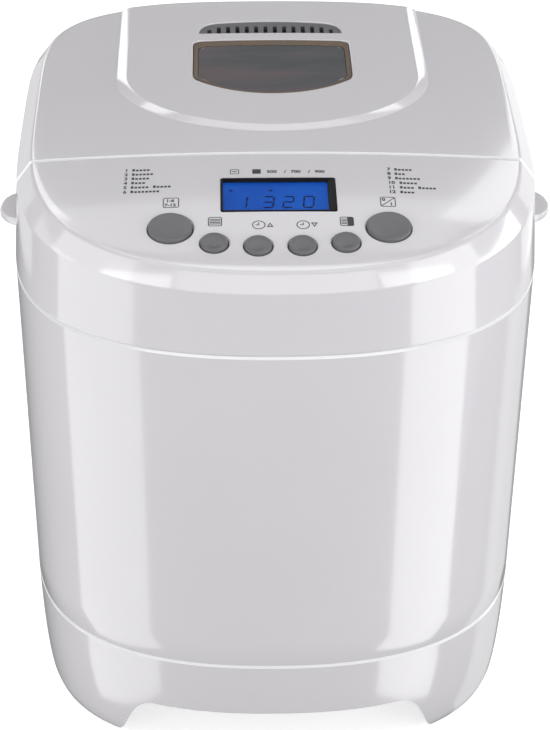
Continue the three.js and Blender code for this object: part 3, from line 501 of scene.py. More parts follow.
def smoked_glass(name):
    """Dark oven glass with faint streaks of colour and a hint of haze."""
    material = new_material(name)
    nodes, links = material.node_tree.nodes, material.node_tree.links
    shader = shader_of(material)
    streak = noise(material, 38.0, 2.0, (0.5, 1.6, 1.0))
    tint = nodes.new("ShaderNodeValToRGB")
    tint.color_ramp.elements[0].position = 0.35
    tint.color_ramp.elements[0].color = (0.085, 0.095, 0.095, 1)
    tint.color_ramp.elements[1].position = 0.68
    tint.color_ramp.elements[1].color = (0.15, 0.12, 0.125, 1)
    middle = tint.color_ramp.elements.new(0.5)
    middle.color = (0.11, 0.11, 0.12, 1)
    links.new(streak, tint.inputs["Fac"])
    links.new(tint.outputs["Color"], shader.inputs["Base Color"])
    shader.inputs["Roughness"].default_value = 0.14
    shader.inputs["Alpha"].default_value = 0.93
    shader.inputs["Coat Weight"].default_value = 0.6
    shader.inputs["Coat Roughness"].default_value = 0.03
    return material


def clear_cover(name):
    """A thin clear window with a faintly uneven polish."""
    material = new_material(name)
    shader = shader_of(material)
    uneven_gloss(material, noise(material, 120.0, 2.0), 0.04, 0.09)
    shader.inputs["Base Color"].default_value = (0.05, 0.09, 0.2, 1)
    shader.inputs["Alpha"].default_value = 0.05
    return material


WHITE = plastic("white_plastic", (0.745, 0.73, 0.755), (0.775, 0.76, 0.782), 0.12,
                bump=0.006, coat=0.3, specular=0.9)
# The seam bevels' lighter colour is a painted highlight: it stands in for the bright line of light caught
# along each seam.
SEAM_HIGHLIGHT = plastic("seam_lip_painted_highlight", (0.96, 0.96, 0.965), (0.985, 0.985, 0.99), 0.2, bump=0.004, coat=0.5, specular=0.9)
GREY = plastic("grey_plastic", (0.15, 0.149, 0.158), (0.17, 0.169, 0.178), 0.42, bump=0.08)
DARK = plastic("dark_plastic", (0.02, 0.02, 0.022), (0.035, 0.035, 0.037), 0.45, bump=0.06)
RUBBER = plastic("rubber", (0.012, 0.012, 0.013), (0.022, 0.022, 0.023), 0.8, grain=600.0, bump=0.2)
SILICONE = plastic("silicone", (0.36, 0.34, 0.32), (0.42, 0.4, 0.37), 0.6, grain=500.0, bump=0.1)
COATING = plastic("nonstick", (0.035, 0.035, 0.038), (0.06, 0.06, 0.064), 0.36, grain=1500.0, bump=0.25)
BOARD = plastic("laminate", (0.015, 0.12, 0.045), (0.03, 0.17, 0.07), 0.4, grain=300.0, bump=0.15)
PRINT = plastic("print_ink", (0.03, 0.03, 0.033), (0.045, 0.045, 0.048), 0.5)
INK = plastic("segment_ink", (0.001, 0.004, 0.02), (0.002, 0.008, 0.04), 0.4, specular=0.1)
STEEL = metal("steel", (0.46, 0.46, 0.47), (0.62, 0.62, 0.63), 0.28, (1.0, 1.0, 12.0))
SHEET = metal("galvanised_sheet", (0.42, 0.43, 0.45), (0.6, 0.61, 0.62), 0.38, scale=60.0)
ALUMINIUM = metal("aluminium_sheet", (0.62, 0.63, 0.64), (0.76, 0.77, 0.78), 0.3, (14.0, 1.0, 1.0))
CAST = metal("cast_aluminium", (0.48, 0.49, 0.5), (0.62, 0.63, 0.64), 0.45, scale=700.0, bump=0.3)
BRASS = metal("brass", (0.5, 0.34, 0.12), (0.62, 0.44, 0.18), 0.35)
SHEATH = metal("element_sheath", (0.05, 0.05, 0.05), (0.11, 0.1, 0.095), 0.5, scale=500.0, metallic=0.7)
BRONZE = metal("bronze_trim", (0.2, 0.15, 0.115), (0.27, 0.205, 0.155), 0.32,
               (3.0, 3.0, 3.0), scale=200.0, bump=0.02, metallic=0.55)
SCREEN = glowing("backlit_screen", (0.001, 0.055, 0.36), (0.002, 0.1, 0.52), 0.35)
BEZEL = plastic("display_frame", (0.006, 0.006, 0.007), (0.01, 0.01, 0.011), 0.5, specular=0.15)
SMOKED = smoked_glass("smoked_glass")
CLEAR = clear_cover("clear_cover")


# ---- Housings ----


def seam_top(side, end, z):
    """The bevelled lip and shallow groove at the top of a housing, from outside to inside."""
    levels = ((0, -LIP_SIZE), (0.12, LIP_ROUND - LIP_SIZE), (LIP_SIZE - LIP_ROUND, -0.12),
              (LIP_SIZE, 0), (LIP_SIZE + 0.1, SEAM_RISE))
    return [(side + inward, end + inward, z + rise) for inward, rise in levels]


def paint_lip_highlight(piece, test):
    """Gives the bevels along a seam a lighter colour than the white plastic: a painted highlight for the
    light that catches them.
    """
    piece.data.materials.append(SEAM_HIGHLIGHT)
    for face in piece.data.polygons:
        if test(face.center / MM, face.normal):
            face.material_index = 1


def ring_lip_highlight(top):
    """A test for the faces of the bevel round the top of a housing, which get the painted highlight."""
    return lambda centre, normal: top - LIP_SIZE < centre.z < top + 0.02 and 0.3 < normal.z < 0.95


def edge_lip_highlight(middle, half, facing, steepest):
    """A test for the faces of a bevel beside the seam between the panel and the lid, which get the painted
    highlight.
    """
    return lambda centre, normal: abs(centre.y - middle) < half and 0.3 < facing * normal.y < steepest


def make_mid_casing():
    low, high = MID_LOW.z, TOP_LOW.z - SEAM_GAP
    side, end = DRAFT_SIDE, DRAFT_END
    levels = [(side + 0.8, end + 0.8, low), (side + 0.25, end + 0.25, low + 0.2), (side, end, low + 0.8)]
    steps = 12
    for i in range(1, steps):
        share = i / steps
        levels.append((side * (1 - share), end * (1 - share), low + (high - low) * share))
    levels += seam_top(0, 0, high)
    neck = WALL + 1.4
    levels += [(neck, neck, high + SEAM_RISE), (neck, neck, high - 6)]
    levels += [(side + WALL, end + WALL, low + 6), (side + WALL, end + WALL, low)]
    casing = band("mid", levels)
    finish(casing, "mid_casing_shell", "housing", WHITE, ["mid_casing"])
    paint_lip_highlight(casing, ring_lip_highlight(high))


def arch_profile():
    """The arch under the base's front and back: half widths of its flat top and its foot, and its height."""
    flat, foot, top = 62, 82, 32
    left = bezier([(-foot, 1), (-foot + 5.5, 3), (-foot + 6, top), (-flat, top)], 18)
    right = [(-x, z) for x, z in reversed(left)]
    return [(-foot, -5), *left, *right, (foot, -5)]


def base_levels(high):
    """The base's outer wall, drawn in towards its foot along a quadratic curve."""
    levels = [(9.2, 15.4, 0.35), (7.9, 14.1, 0.6), (7, 13.1, 1.6), (6.2, 12.2, 4)]
    a, b, c = np.array(((6.0, 12.0, 4.0), (3.7, 6.0, 28.0), (DRAFT_SIDE, DRAFT_END, high)))
    steps = 15
    for i in range(1, steps):
        share = i / steps
        point = (1 - share) ** 2 * a + 2 * share * (1 - share) * (b * 2 - (a + c) / 2) + share ** 2 * c
        levels.append(tuple(point))
    levels += seam_top(DRAFT_SIDE, DRAFT_END, high)
    levels.append((DRAFT_SIDE + WALL, DRAFT_END + WALL, high + SEAM_RISE))
    return levels


def node_middle(node):
    low, high = node_box(node)
    return (low + high) / 2


def base_fittings(tray, floor, high):
    """The pads over the feet, the screw bosses, the hole for the cord gland and the floor's air slots."""
    for name in ("front_left", "front_right", "back_left", "back_right"):
        foot, foot_top = node_middle(f"foot_{name}"), node_box(f"foot_{name}")[1].z
        join(tray, prism(circle(11, 40, foot.x, foot.y), foot_top + GAP, floor + 1))
        screw = node_middle(f"base_screw_{name}")
        join(tray, prism(circle(5.5, 24, screw.x, screw.y), floor + 1, high - 6))
        cut(tray, prism(circle(2.5, 20, screw.x, screw.y), floor - 3, high))
    gland = node_middle("cord_gland")
    cut(tray, front_prism(circle(6.4, 24, gland.x, gland.z), 110, 150))
    slots_y, slot_pitch, slot_half = -70, 12, 2.5
    for i in range(-2, 3):
        y = slots_y + slot_pitch * i
        cut(tray, block(-30, 30, y - slot_half, y + slot_half, floor - 2, floor + 6))


def make_base():
    high = MID_LOW.z - SEAM_GAP
    floor = node_box("foot_front_left")[1].z + 27.3
    tray = loft(base_levels(high))
    below = loft([(9 + WALL, 15 + WALL, -3), (4.6 + WALL, 9 + WALL, floor)])
    neck = WALL + 0.4
    above = loft([(3.7 + WALL, 6 + WALL, floor + WALL), (DRAFT_SIDE + neck, DRAFT_END + neck, high + 3)])
    cut(tray, below, above)
    cut(tray, front_prism(arch_profile(), -BEYOND, -95), front_prism(arch_profile(), 105, BEYOND))
    base_fittings(tray, floor, high)
    finish(tray, "base_tray_shell", "housing", WHITE, ["base_tray"])
    paint_lip_highlight(tray, ring_lip_highlight(high))


def panel_frame(x, y):
    """The place of a piece that stands on the panel."""
    place = Matrix.Translation((x * MM, y * MM, float(top_height(x, y)) * MM))
    return place @ Matrix.Rotation(math.atan(top_slope(y)), 4, "X")


def on_panel(piece, x, y):
    """Stands a piece, drawn around its own middle, on the panel."""
    piece.data.transform(panel_frame(x, y))
    return piece


def button_spots():
    """Each button's name, place on the panel and radius, from the frame."""
    big_y, outer_y, inner_y = -99.3, -110.1, -112.3
    big_radius, small_radius, least_big_width = 10.2, 6.3, 20
    spots = []
    for node in ("menu_button", "size_button", "time_up_button", "time_down_button", "crust_button",
                 "start_stop_button"):
        low, high = node_box(node)
        x = (low.x + high.x) / 2
        if high.x - low.x > least_big_width:
            spots.append((node, x, big_y, big_radius))
        else:
            spots.append((node, x, outer_y if abs(x) > 20 else inner_y, small_radius))
    return spots


def hinge_notch(casing, side):
    """Two knuckles on the casing with room for the lid's arm between them, and the hole for the pin."""
    low, high = side * HINGE_ARM - HALF_ARM - GAP, side * HINGE_ARM + HALF_ARM + GAP
    knuckle_width = 3.2
    for x0, x1 in ((low - knuckle_width, low), (high, high + knuckle_width)):
        join(casing, side_prism(circle(KNUCKLE + 0.2, 32, HINGE_Y, HINGE_Z), x0, x1))
        join(casing, block(x0, x1, HINGE_Y - KNUCKLE, HINGE_Y + KNUCKLE, HINGE_Z, HINGE_Z + 9))
    cut(casing, block(low, high, HINGE_Y - 7.6, BEYOND, HINGE_Z - 8.5, ABOVE))
    cut(casing, side_prism(circle(PIN_RADIUS, 24, HINGE_Y, HINGE_Z), low - 4, high + 4))


def button_hole(radius):
    """A cutter for a button's hole, with its edge a little rounded."""
    snug, wide = radius + 0.45, radius + 0.95
    return turned("hole", [(snug, -12), (snug, -0.5), (wide, 0.1), (radius + 2, 6)])


def make_top_casing():
    bottom = TOP_LOW.z
    casing = upper_body(bottom)
    cut(casing, lid_space(0))
    hollow = upper_body(bottom - 8, WALL, seam=False)
    cut(hollow, lid_space(WALL))
    cut(casing, hollow)
    mouth = rounded_rectangle(90.5, 68.5, 22.5, 0, node_middle("oven_liner").y, 12)
    cut(casing, prism(mouth, 230, 290))
    hinge_notch(casing, -1)
    hinge_notch(casing, 1)
    for _, x, y, radius in button_spots():
        cut(casing, on_panel(button_hole(radius), x, y))
    shape = rounded_rectangle(DISPLAY_X_HALF, DISPLAY_Y_HALF, 1.2)
    cut(casing, on_panel(prism(shape, -8, 6), 0, DISPLAY_Y))
    cut(casing, seam_bevel(PANEL_EDGE_Y, -1.0, 0.9))
    finish(casing, "top_casing_shell", "housing", WHITE, ["top_casing"], angle=18)
    paint_lip_highlight(casing, edge_lip_highlight(PANEL_EDGE_Y - 0.5, 0.52, 1, 0.95))


# ---- Lid ----

PAD_RISE, PAD_HALF_WIDTH, PAD_CENTRE_Y, PAD_REACH, PAD_BACK = 2.0, 78.8, 39.5, 58.6, 150
WINDOW_HALF, WINDOW_BACK, WINDOW_SIDE_Y, WINDOW_FRONT = 40.3, 77.5, 33.9, 16
WINDOW_CORNER = 5.0
THROUGH_LID = (240, 330)
VENT_HALF, VENT_FRONT, VENT_BACK, VENT_SLOTS, VENT_PITCH = 37.2, 86.5, 101.2, 14, 4.9
GRIP_ROOT, GRIP_Y, GRIP_HALF_LENGTH, GRIP_Z, GRIP_HALF_HEIGHT = 5, -23.5, 15, 263.4, 1.9


def pad_outline(offset):
    """The raised pad's outline, half an ellipse at the front and open towards the back."""
    half, reach = PAD_HALF_WIDTH - offset, PAD_REACH - 0.6 * offset
    turns = [math.pi + math.pi * i / 96 for i in range(97)]
    front = [(half * math.cos(t), PAD_CENTRE_Y + reach * math.sin(t)) for t in turns]
    right = [(half, y) for y in np.linspace(PAD_CENTRE_Y, PAD_BACK, 30)[1:]]
    behind = [(x, PAD_BACK) for x in np.linspace(half, -half, 24)[1:]]
    left = [(-half, y) for y in np.linspace(PAD_BACK, PAD_CENTRE_Y, 30)[1:-1]]
    return front + right + behind + left


def draped(shape, height):
    """A plan shape laid over the top surface, raised by a height."""
    return [(x, y, float(top_height(x, y)) + height) for x, y in shape]


def filled_rings(shape, height, centre, steps):
    """Rings from a shape to a point near its centre, laid over the top surface."""
    rings = []
    for share in np.linspace(0, 1, steps)[1:-1]:
        inner = [(x + (centre[0] - x) * share, y + (centre[1] - y) * share) for x, y in shape]
        rings.append(draped(inner, height))
    return rings


def make_pad():
    rings = [draped(pad_outline(0), -3), draped(pad_outline(0), 0.05), draped(pad_outline(0.5), 0.35),
             draped(pad_outline(4.6), 1.8), draped(pad_outline(5.3), 1.97), draped(pad_outline(6), PAD_RISE)]
    rings += filled_rings(pad_outline(6), PAD_RISE, WINDOW_CENTRE, 30)
    pad = mesh_piece("pad", *stacked(rings))
    return keep(pad, upper_body(240, 0.04, PAD_RISE, seam=False))


def window_outline(margin, back_margin=None):
    """The window: straight back and sides with a bowed front, moved inwards by a margin."""
    back_margin = margin if back_margin is None else back_margin
    half = WINDOW_HALF - margin
    sag = WINDOW_SIDE_Y - WINDOW_FRONT
    radius = (half * half + sag * sag) / (2 * sag)
    spread = math.degrees(math.asin(half / radius))
    centre = WINDOW_FRONT + margin + radius
    points = arc(0, centre, radius, -90 - spread + 3.5, -90 + spread - 3.5, 40)
    side_start = points[-1]
    points += bezier([side_start, (half, WINDOW_SIDE_Y + margin * 0.5), (half, WINDOW_SIDE_Y + 6)], 6)[1:]
    back, corner = WINDOW_BACK - back_margin, WINDOW_CORNER
    points += bezier([(half, back - corner), (half, back - 0.4), (half - corner, back)], 8)
    points += bezier([(half - corner, back), (0, back + 1.2), (-half + corner, back)], 20)[1:-1]
    points += bezier([(-half + corner, back), (-half, back - 0.4), (-half, back - corner)], 8)
    points += bezier([(-half, WINDOW_SIDE_Y + 6), (-half, WINDOW_SIDE_Y + margin * 0.5), points[0]], 6)[:-1]
    return points


def vent_outline(margin):
    """The vent: straight front, rounded back corners and a bowed back, moved inwards by a margin."""
    half, front, back = VENT_HALF - margin, VENT_FRONT + margin, VENT_BACK - margin
    points = [(-half, front), (half, front)]
    points += bezier([(half, front + 1), (half - 0.5, back - 3.5), (half - 9, back - 2)], 10)
    points += bezier([(half - 9, back - 2), (0, back + 2), (-half + 9, back - 2)], 24)[1:-1]
    points += bezier([(-half + 9, back - 2), (-half + 0.5, back - 3.5), (-half, front + 1)], 10)
    return points


def groove_around(shape_at):
    """A cutter that rounds the edge of an opening: wider above the surface than below it."""
    drop, width = 0.6, 0.5
    rings = [draped(shape_at(0), -drop), draped(shape_at(-width * 0.35), -drop * 0.45),
             draped(shape_at(-width), 0.02), draped(shape_at(-width * 2.2), 3)]
    rings = [[(x, y, z + PAD_RISE) for x, y, z in ring_points] for ring_points in rings]
    return mesh_piece("groove", *stacked(rings))


def lid_arm(side):
    """An arm of the lid, from its top down to its knuckle on the hinge pin."""
    x0, x1 = side * HINGE_ARM - HALF_ARM, side * HINGE_ARM + HALF_ARM
    arm = side_prism(circle(KNUCKLE, 32, HINGE_Y, HINGE_Z), x0, x1)
    stem = block(x0, x1, HINGE_Y - 5.6, HINGE_Y + 7.4, HINGE_Z, 301)
    return join(arm, keep(stem, upper_body(220, 1, seam=False)))


def lid_grip(side):
    """A half-round finger tab on the lid's side, with its edge rounded."""
    root = HALF_WIDTH - GRIP_ROOT
    reach = node_box("lid_shell")[1].x - root
    rings = []
    for step in range(9):
        turn = math.pi * step / 8
        shrink = 1 - math.sin(turn) ** 0.6
        height = GRIP_Z - GRIP_HALF_HEIGHT * math.cos(turn)
        half_x, half_y = reach - shrink, GRIP_HALF_LENGTH - shrink
        rings.append([(side * root + half_x * math.cos(t), GRIP_Y + half_y * math.sin(t), height)
                      for t in np.linspace(0, 2 * np.pi, 49)[:-1]])
    return cut(mesh_piece("grip", *stacked(rings)), upper_body(220, WALL - 0.5, seam=False))


def make_lid():
    """The lid: the upper housing above a sloping plane, hollowed, with its pad, arms, grips and openings."""
    behind = 200
    zone = side_prism([(LID_EDGE_Y, ABOVE), (LID_EDGE_Y, lid_plane(LID_EDGE_Y)),
                       (behind, lid_plane(behind)), (behind, ABOVE)], -BEYOND, BEYOND)
    shell = keep(upper_body(220, seam=False), zone)
    inside = block(-BEYOND, BEYOND, LID_EDGE_Y + WALL, behind, 190, ABOVE)
    cut(shell, keep(upper_body(200, WALL, seam=False), inside))
    join(shell, make_pad(), lid_arm(-1), lid_arm(1), lid_grip(-1), lid_grip(1))
    for shape_at in (window_outline, vent_outline):
        cut(shell, prism(shape_at(0), *THROUGH_LID), groove_around(shape_at))
    cut(shell, side_prism(circle(PIN_RADIUS, 24, HINGE_Y, HINGE_Z), -100, 100))
    cut(shell, seam_bevel(LID_EDGE_Y, 1.4, 2.2))
    finish(shell, "lid_shell_skin", "lid", WHITE, ["lid_shell"], angle=12)
    paint_lip_highlight(shell, edge_lip_highlight(LID_EDGE_Y + 0.7, 0.72, -1, 0.97))


def make_window():
    outer = window_outline(GAP)
    rim = [draped(outer, -2.4), draped(outer, 1.35), draped(window_outline(0.55), 1.62),
           draped(window_outline(1.0), 1.6), draped(window_outline(1.9, 3.6), 1.3),
           draped(window_outline(2.6, 5.2), 1.1), draped(window_outline(2.6, 5.2), -2.4)]
    seal = mesh_piece("rim", *stacked(rim, loop=True))
    finish(seal, "window_rim", "lid", BRONZE, ["window_seal"])
    edge, face, face_height = window_outline(2.72, 5.32), window_outline(3.0, 5.6), 0.95
    rings = [draped(edge, -1.8), draped(edge, 0.75), draped(face, face_height)]
    rings += filled_rings(face, face_height, WINDOW_CENTRE, 14)
    glass = mesh_piece("glass", *stacked(rings))
    finish(glass, "window_pane", "lid", SMOKED, ["window_glass"])


def make_vent():
    """The grille: a sunk field with a row of slots, shorter at both ends where the outline bends."""
    middle_y, half_y = (VENT_FRONT + VENT_BACK) / 2, (VENT_BACK - VENT_FRONT) / 2
    edge, bend, field, height = vent_outline(0.25), vent_outline(0.6), vent_outline(1.1), 0.7
    rings = [draped(edge, -2), draped(edge, 1.5), draped(bend, 1.35), draped(field, height)]
    rings += filled_rings(field, height, (0, middle_y), 8)
    grille = mesh_piece("grille", *stacked(rings))
    shorter = {0: 3.6, 1: 0.8}
    for i in range(VENT_SLOTS):
        x = (i - (VENT_SLOTS - 1) / 2) * VENT_PITCH
        short = shorter.get(min(i, VENT_SLOTS - 1 - i), 0) / 2
        slot = rounded_rectangle(1.05, half_y - 3.1 - short, 0.4, x, middle_y - 0.9 - short, 3)
        cut(grille, prism(slot, *THROUGH_LID))
    finish(grille, "steam_vent", "lid", GREY, ["vent_grille"])


# ---- Controls ----

PRINT_LOW, PRINT_HIGH = -0.05, 0.04  # the print's underside and face, from the panel's surface
PRINT_SIZE, LINE = 3.3, 0.45
DIGIT_WIDTH, DIGIT_HEIGHT, DIGIT_STROKE, DIGIT_LEAN = 4.6, 8.6, 0.7, 0.08
DIGIT_LOW, DIGIT_HIGH = -1.95, -1.83
SEGMENTS = {"0": "abcdef", "1": "bc", "2": "abged", "3": "abgcd"}


def make_buttons():
    """The push buttons: a stem, a flange under the panel and a slightly dished cap."""
    stem, flange = 2.4, 1.5
    for node, x, y, radius in button_spots():
        low, _ = node_box(node)
        tip = (float(top_height(x, y)) - low.z) * 0.98
        profile = [(stem, -tip), (stem, -4.8), (radius + flange, -4.8), (radius + flange, -3.5),
                   (radius, -3.4), (radius, 0.6), (radius - 0.12, 1.0), (radius - 0.45, 1.35),
                   (radius - 0.9, 1.5), (radius - 1.3, 1.46), (radius * 0.75, 1.2),
                   (radius * 0.4, 1.02), (0.3, 0.98)]
        cap = on_panel(turned("cap", profile, 64), x, y)
        finish(cap, f"{node}_cap", node, GREY, [node], angle=40)


def on_top(piece, x, y):
    """Lays a flat piece, drawn around its own middle, on the panel's curved surface."""
    for vertex in piece.data.vertices:
        u, v, w = (value / MM for value in vertex.co)
        height = float(top_height(x + u, y + v)) + w
        vertex.co = ((x + u) * MM, (y + v) * MM, height * MM)
    return piece


def stroke_ring(outer, inner):
    """A printed line between two closed outlines."""
    levels = ((outer, PRINT_LOW), (outer, PRINT_HIGH), (inner, PRINT_HIGH), (inner, PRINT_LOW))
    rings = [[(x, y, height) for x, y in shape] for shape, height in levels]
    return mesh_piece("stroke", *stacked(rings, loop=True))


def bar(x0, x1, y0, y1):
    return block(x0, x1, y0, y1, PRINT_LOW, PRINT_HIGH)


def thin_line(start, end, width=LINE):
    a, b = Vector(start), Vector(end)
    across = (b - a).orthogonal().normalized() * width / 2
    corners = (a + across, a - across, b - across, b + across)
    return prism([tuple(corner) for corner in corners], PRINT_LOW, PRINT_HIGH)


def frame_box(half_x, half_y, width, radius):
    """A printed frame with rounded corners, around its own middle."""
    outer = rounded_rectangle(half_x, half_y, radius, 0, 0, 4)
    inner = rounded_rectangle(half_x - width, half_y - width, max(radius - width, 0.1), 0, 0, 4)
    return stroke_ring(outer, inner)


def lettering(text, size):
    """Plain figures, drawn from the left end of their baseline."""
    curve = bpy.data.curves.new("figures", "FONT")
    curve.body = text
    curve.size = size * MM
    curve.extrude = (PRINT_HIGH - PRINT_LOW) / 2 * MM
    curve.offset = 0.11 * MM
    curve.resolution_u = 3
    holder = bpy.data.objects.new("figures", curve)
    scene.collection.objects.link(holder)
    evaluated = holder.evaluated_get(bpy.context.evaluated_depsgraph_get())
    mesh = bpy.data.meshes.new_from_object(evaluated)
    bpy.data.objects.remove(holder)
    piece = bpy.data.objects.new("figures", mesh)
    scene.collection.objects.link(piece)
    return clean(piece)


def combined(name, pieces):
    """One mesh from several that don't touch."""
    result = bmesh.new()
    for piece in pieces:
        result.from_mesh(piece.data)
        bpy.data.objects.remove(piece)
    mesh = bpy.data.meshes.new(name)
    result.to_mesh(mesh)
    result.free()
    whole = bpy.data.objects.new(name, mesh)
    scene.collection.objects.link(whole)
    return whole


def programme_list(first, rows, x, y, lean, pitch):
    """A column of programme numbers, each with one or two groups of plain blocks in place of its name."""
    block_width, block_pitch, tall, low = 1.25, 1.72, 2.0, 1.45
    marks = []
    for i, groups in enumerate(rows):
        number = f"{first + i}"
        left, row = x + lean * i, y - pitch * i
        marks.append(on_top(lettering(number, PRINT_SIZE), left, row))
        start = left + 1.9 * len(number) + 1.6
        for place in range(sum(groups) + len(groups) - 1):
            if place != groups[0]:
                high = tall if place in (0, groups[0] + 1) else low
                marks.append(on_top(bar(0, block_width, 0.05, high), start + block_pitch * place, row))
    return marks


def clock_mark(up):
    """A clock face with a triangle beside it that points up or down."""
    outer, inner = circle(3.05, 32), circle(2.6, 32)
    tip = 1.55 if up else -1.55
    triangle_outer = [(3.6, -tip), (6.7, -tip), (5.15, tip)]
    triangle_inner = [(4.4, -tip * 0.66), (5.9, -tip * 0.66), (5.15, tip * 0.42)]
    hands = [thin_line((0, -0.2), (0, 1.7)), thin_line((0.2, 0), (-1.5, 0))]
    return [stroke_ring(outer, inner), *hands, stroke_ring(triangle_outer, triangle_inner)]


def slice_mark(filled):
    """A framed slice drawn in four lines, with its right half filled or open."""
    end = 0 if filled else 2.5
    pieces = [frame_box(3.2, 3.3, LINE, 1.0)]
    pieces += [thin_line((-2.5, v), (end, v), 0.55) for v in (-1.7, -0.6, 0.5, 1.6)]
    if filled:
        pieces.append(bar(0.2, 2.9, -2.8, 2.8))
    return pieces


def weight_row(y):
    """Above the display: a framed mark, a filled mark and the three loaf weights."""
    weights = (("500", 0), ("/", 8.1), ("700", 11.2), ("/", 19.4), ("900", 22.5))
    marks = [on_top(lettering(text, 3.1), -5.0 + offset, y - 1.2) for text, offset in weights]
    marks += [on_top(frame_box(2.15, 2.0, 0.4, 0.6), -20.1, y), on_top(bar(-1.2, 1.2, -0.25, 0.35), -20.1, y)]
    marks.append(on_top(bar(-2.0, 2.0, -1.9, 1.9), -9.8, y))
    return marks


def big_button_marks():
    """Above the big buttons: programme numbers in a frame, and on and off in a split frame."""
    left_x, left_y, right_x, right_y = -49.6, -80.2, 50.4, -80.3
    return [on_top(frame_box(3.75, 3.8, LINE, 1.1), left_x, left_y),
            on_top(lettering("1-6", 2.9), left_x - 2.3, left_y + 0.6),
            on_top(lettering("7-12", 2.9), left_x - 3.0, left_y - 2.7),
            on_top(frame_box(3.6, 3.8, LINE, 1.1), right_x, right_y),
            on_top(lettering("1", 3.1), right_x + 0.7, right_y - 2.7),
            on_top(thin_line((-3.2, -3.2), (3.2, 3.2)), right_x, right_y),
            on_top(lettering("0", 3.1), right_x - 2.7, right_y + 0.7)]


def make_print():
    """All print on the panel as one piece. Groups of blocks stand for the programmes' names."""
    marks = programme_list(1, ((5,), (6,), (5,), (4,), (5, 5), (8,)), -71.6, -53.6, -0.08, 3.6)
    marks += programme_list(7, ((5,), (3,), (7,), (5,), (4, 5), (4,)), 51.6, -54.6, -0.06, 3.75)
    marks += weight_row(-56.2)
    icons = ((-29.4, -95.1, slice_mark(False)), (-9.5, -97.9, clock_mark(True)),
             (10.7, -98.0, clock_mark(False)), (30.7, -95.4, slice_mark(True)))
    for x, y, pieces in icons:
        marks += [on_top(piece, x, y) for piece in pieces]
    marks += big_button_marks()
    finish(combined("panel_print", marks), "panel_print", "housing", PRINT)


def segment(length):
    """One bar of a figure, along X, with pointed ends."""
    side = DIGIT_STROKE / 2
    tip, shoulder = length / 2 + side * 0.6, length / 2 - side
    return [(-tip, 0), (-shoulder, side), (shoulder, side), (tip, 0), (shoulder, -side), (-shoulder, -side)]


def digit(kind, x, y):
    """A seven-segment figure in the plane of the display."""
    half_x, half_y = DIGIT_WIDTH / 2, DIGIT_HEIGHT / 2
    level = {"a": (0, half_y), "g": (0, 0), "d": (0, -half_y)}
    upright = {"f": (-half_x, half_y / 2), "b": (half_x, half_y / 2),
               "e": (-half_x, -half_y / 2), "c": (half_x, -half_y / 2)}
    pieces = []
    for letter in SEGMENTS[kind]:
        u, v = level[letter] if letter in level else upright[letter]
        flat = segment((DIGIT_WIDTH if letter in level else half_y) - DIGIT_STROKE * 1.25)
        if letter in upright:
            flat = [(b, a) for a, b in flat][::-1]
        leaning = [(x + u + a + DIGIT_LEAN * (v + b), y + v + b) for a, b in flat]
        pieces.append(prism(leaning, DIGIT_LOW, DIGIT_HIGH))
    return pieces


def make_display():
    """The display's case, bezel, screen, cover and figures. The screen sits left of the bezel's middle."""
    half_x, half_y = DISPLAY_X_HALF - GAP, DISPLAY_Y_HALF - GAP
    body = block(-half_x - 4, half_x + 4, -half_y - 3, half_y + 3, -9.2, -3.6)
    on_panel(body, 0, DISPLAY_Y)
    finish(body, "display_case", "housing", DARK, ["display_module"])
    screen_x = -1.3
    rim_out = rounded_rectangle(half_x, half_y, 1.0)
    rim_in = rounded_rectangle(half_x - 2.1, half_y - 1.1, 0.5, screen_x)
    levels = [(rim_out, -3.4), (rim_out, -0.15), (rounded_rectangle(half_x - 0.3, half_y - 0.3, 0.8), 0.1),
              (rounded_rectangle(half_x - 0.8, half_y - 0.8, 0.6), 0.0), (rim_in, -0.9), (rim_in, -3.4)]
    rings = [[(x, y, z) for x, y in shape] for shape, z in levels]
    bezel = mesh_piece("bezel", *stacked(rings, loop=True))
    finish(on_panel(bezel, 0, DISPLAY_Y), "display_bezel", "housing", BEZEL)
    face = rounded_rectangle(half_x - 2.2, half_y - 1.2, 0.5, screen_x)
    screen = prism(face, -3.4, -2.0)
    finish(on_panel(screen, 0, DISPLAY_Y), "display_screen", "housing", SCREEN)
    cover = prism(face, -1.6, -0.9)
    finish(on_panel(cover, 0, DISPLAY_Y), "display_cover", "housing", CLEAR, ["display_lens"])
    pieces = []
    for kind, x in (("1", -17), ("3", -4.6), ("2", 4.6), ("0", 14.0)):
        pieces += digit(kind, x, -3.6)
    pieces += [prism([(u - 1, 5.2), (u + 1, 5.2), (u, 6.4)], DIGIT_LOW, DIGIT_HIGH) for u in (-22, -3.4)]
    figures = combined("figures", pieces)
    finish(on_panel(figures, 0, DISPLAY_Y), "display_figures", "housing", INK)


# ---- Carried-over CAD nodes ----

NODE_MATERIALS = {
    "white_plastic": WHITE, "grey_plastic": GREY, "dark_plastic": DARK, "black_rubber": RUBBER,
    "steel": STEEL, "galvanised_steel": SHEET, "dark_element": SHEATH, "cast_aluminium": CAST,
    "aluminium_sheet": ALUMINIUM, "brass": BRASS, "nonstick_coating": COATING, "circuit_board": BOARD,
    "grey_silicone": SILICONE, "display_lens": CLEAR, "display_blue": SCREEN, "bronze_trim": BRONZE,
    "smoked_glass": SMOKED,
}


def dress_nodes():
    """Gives each CAD node the material that its slot in the record names."""
    slots = {entry["node"]: entry["material_slot"] for entry in frame["record"]["subparts"]}
    for node, piece in frame["nodes"].items():
        piece.data.materials.clear()
        piece.data.materials.append(NODE_MATERIALS[slots[node]])
        piece.data.shade_smooth()
        piece.data.set_sharp_from_angle(angle=math.radians(32))


# ---- Camera, floor and light ----

CAMERA_PLACE = (-0.0276, -0.9805, 0.7698)
CAMERA_YAW, CAMERA_FALL, CAMERA_ROLL = 1.687, 31.97, 0.477  # degrees
CAMERA_FOCAL, SENSOR_WIDTH = 108.64, 36

MIDDLE, TOP, FOOT = (0, 0, 0.16), (0, 0.04, 0.3), (0, 0, 0.1)
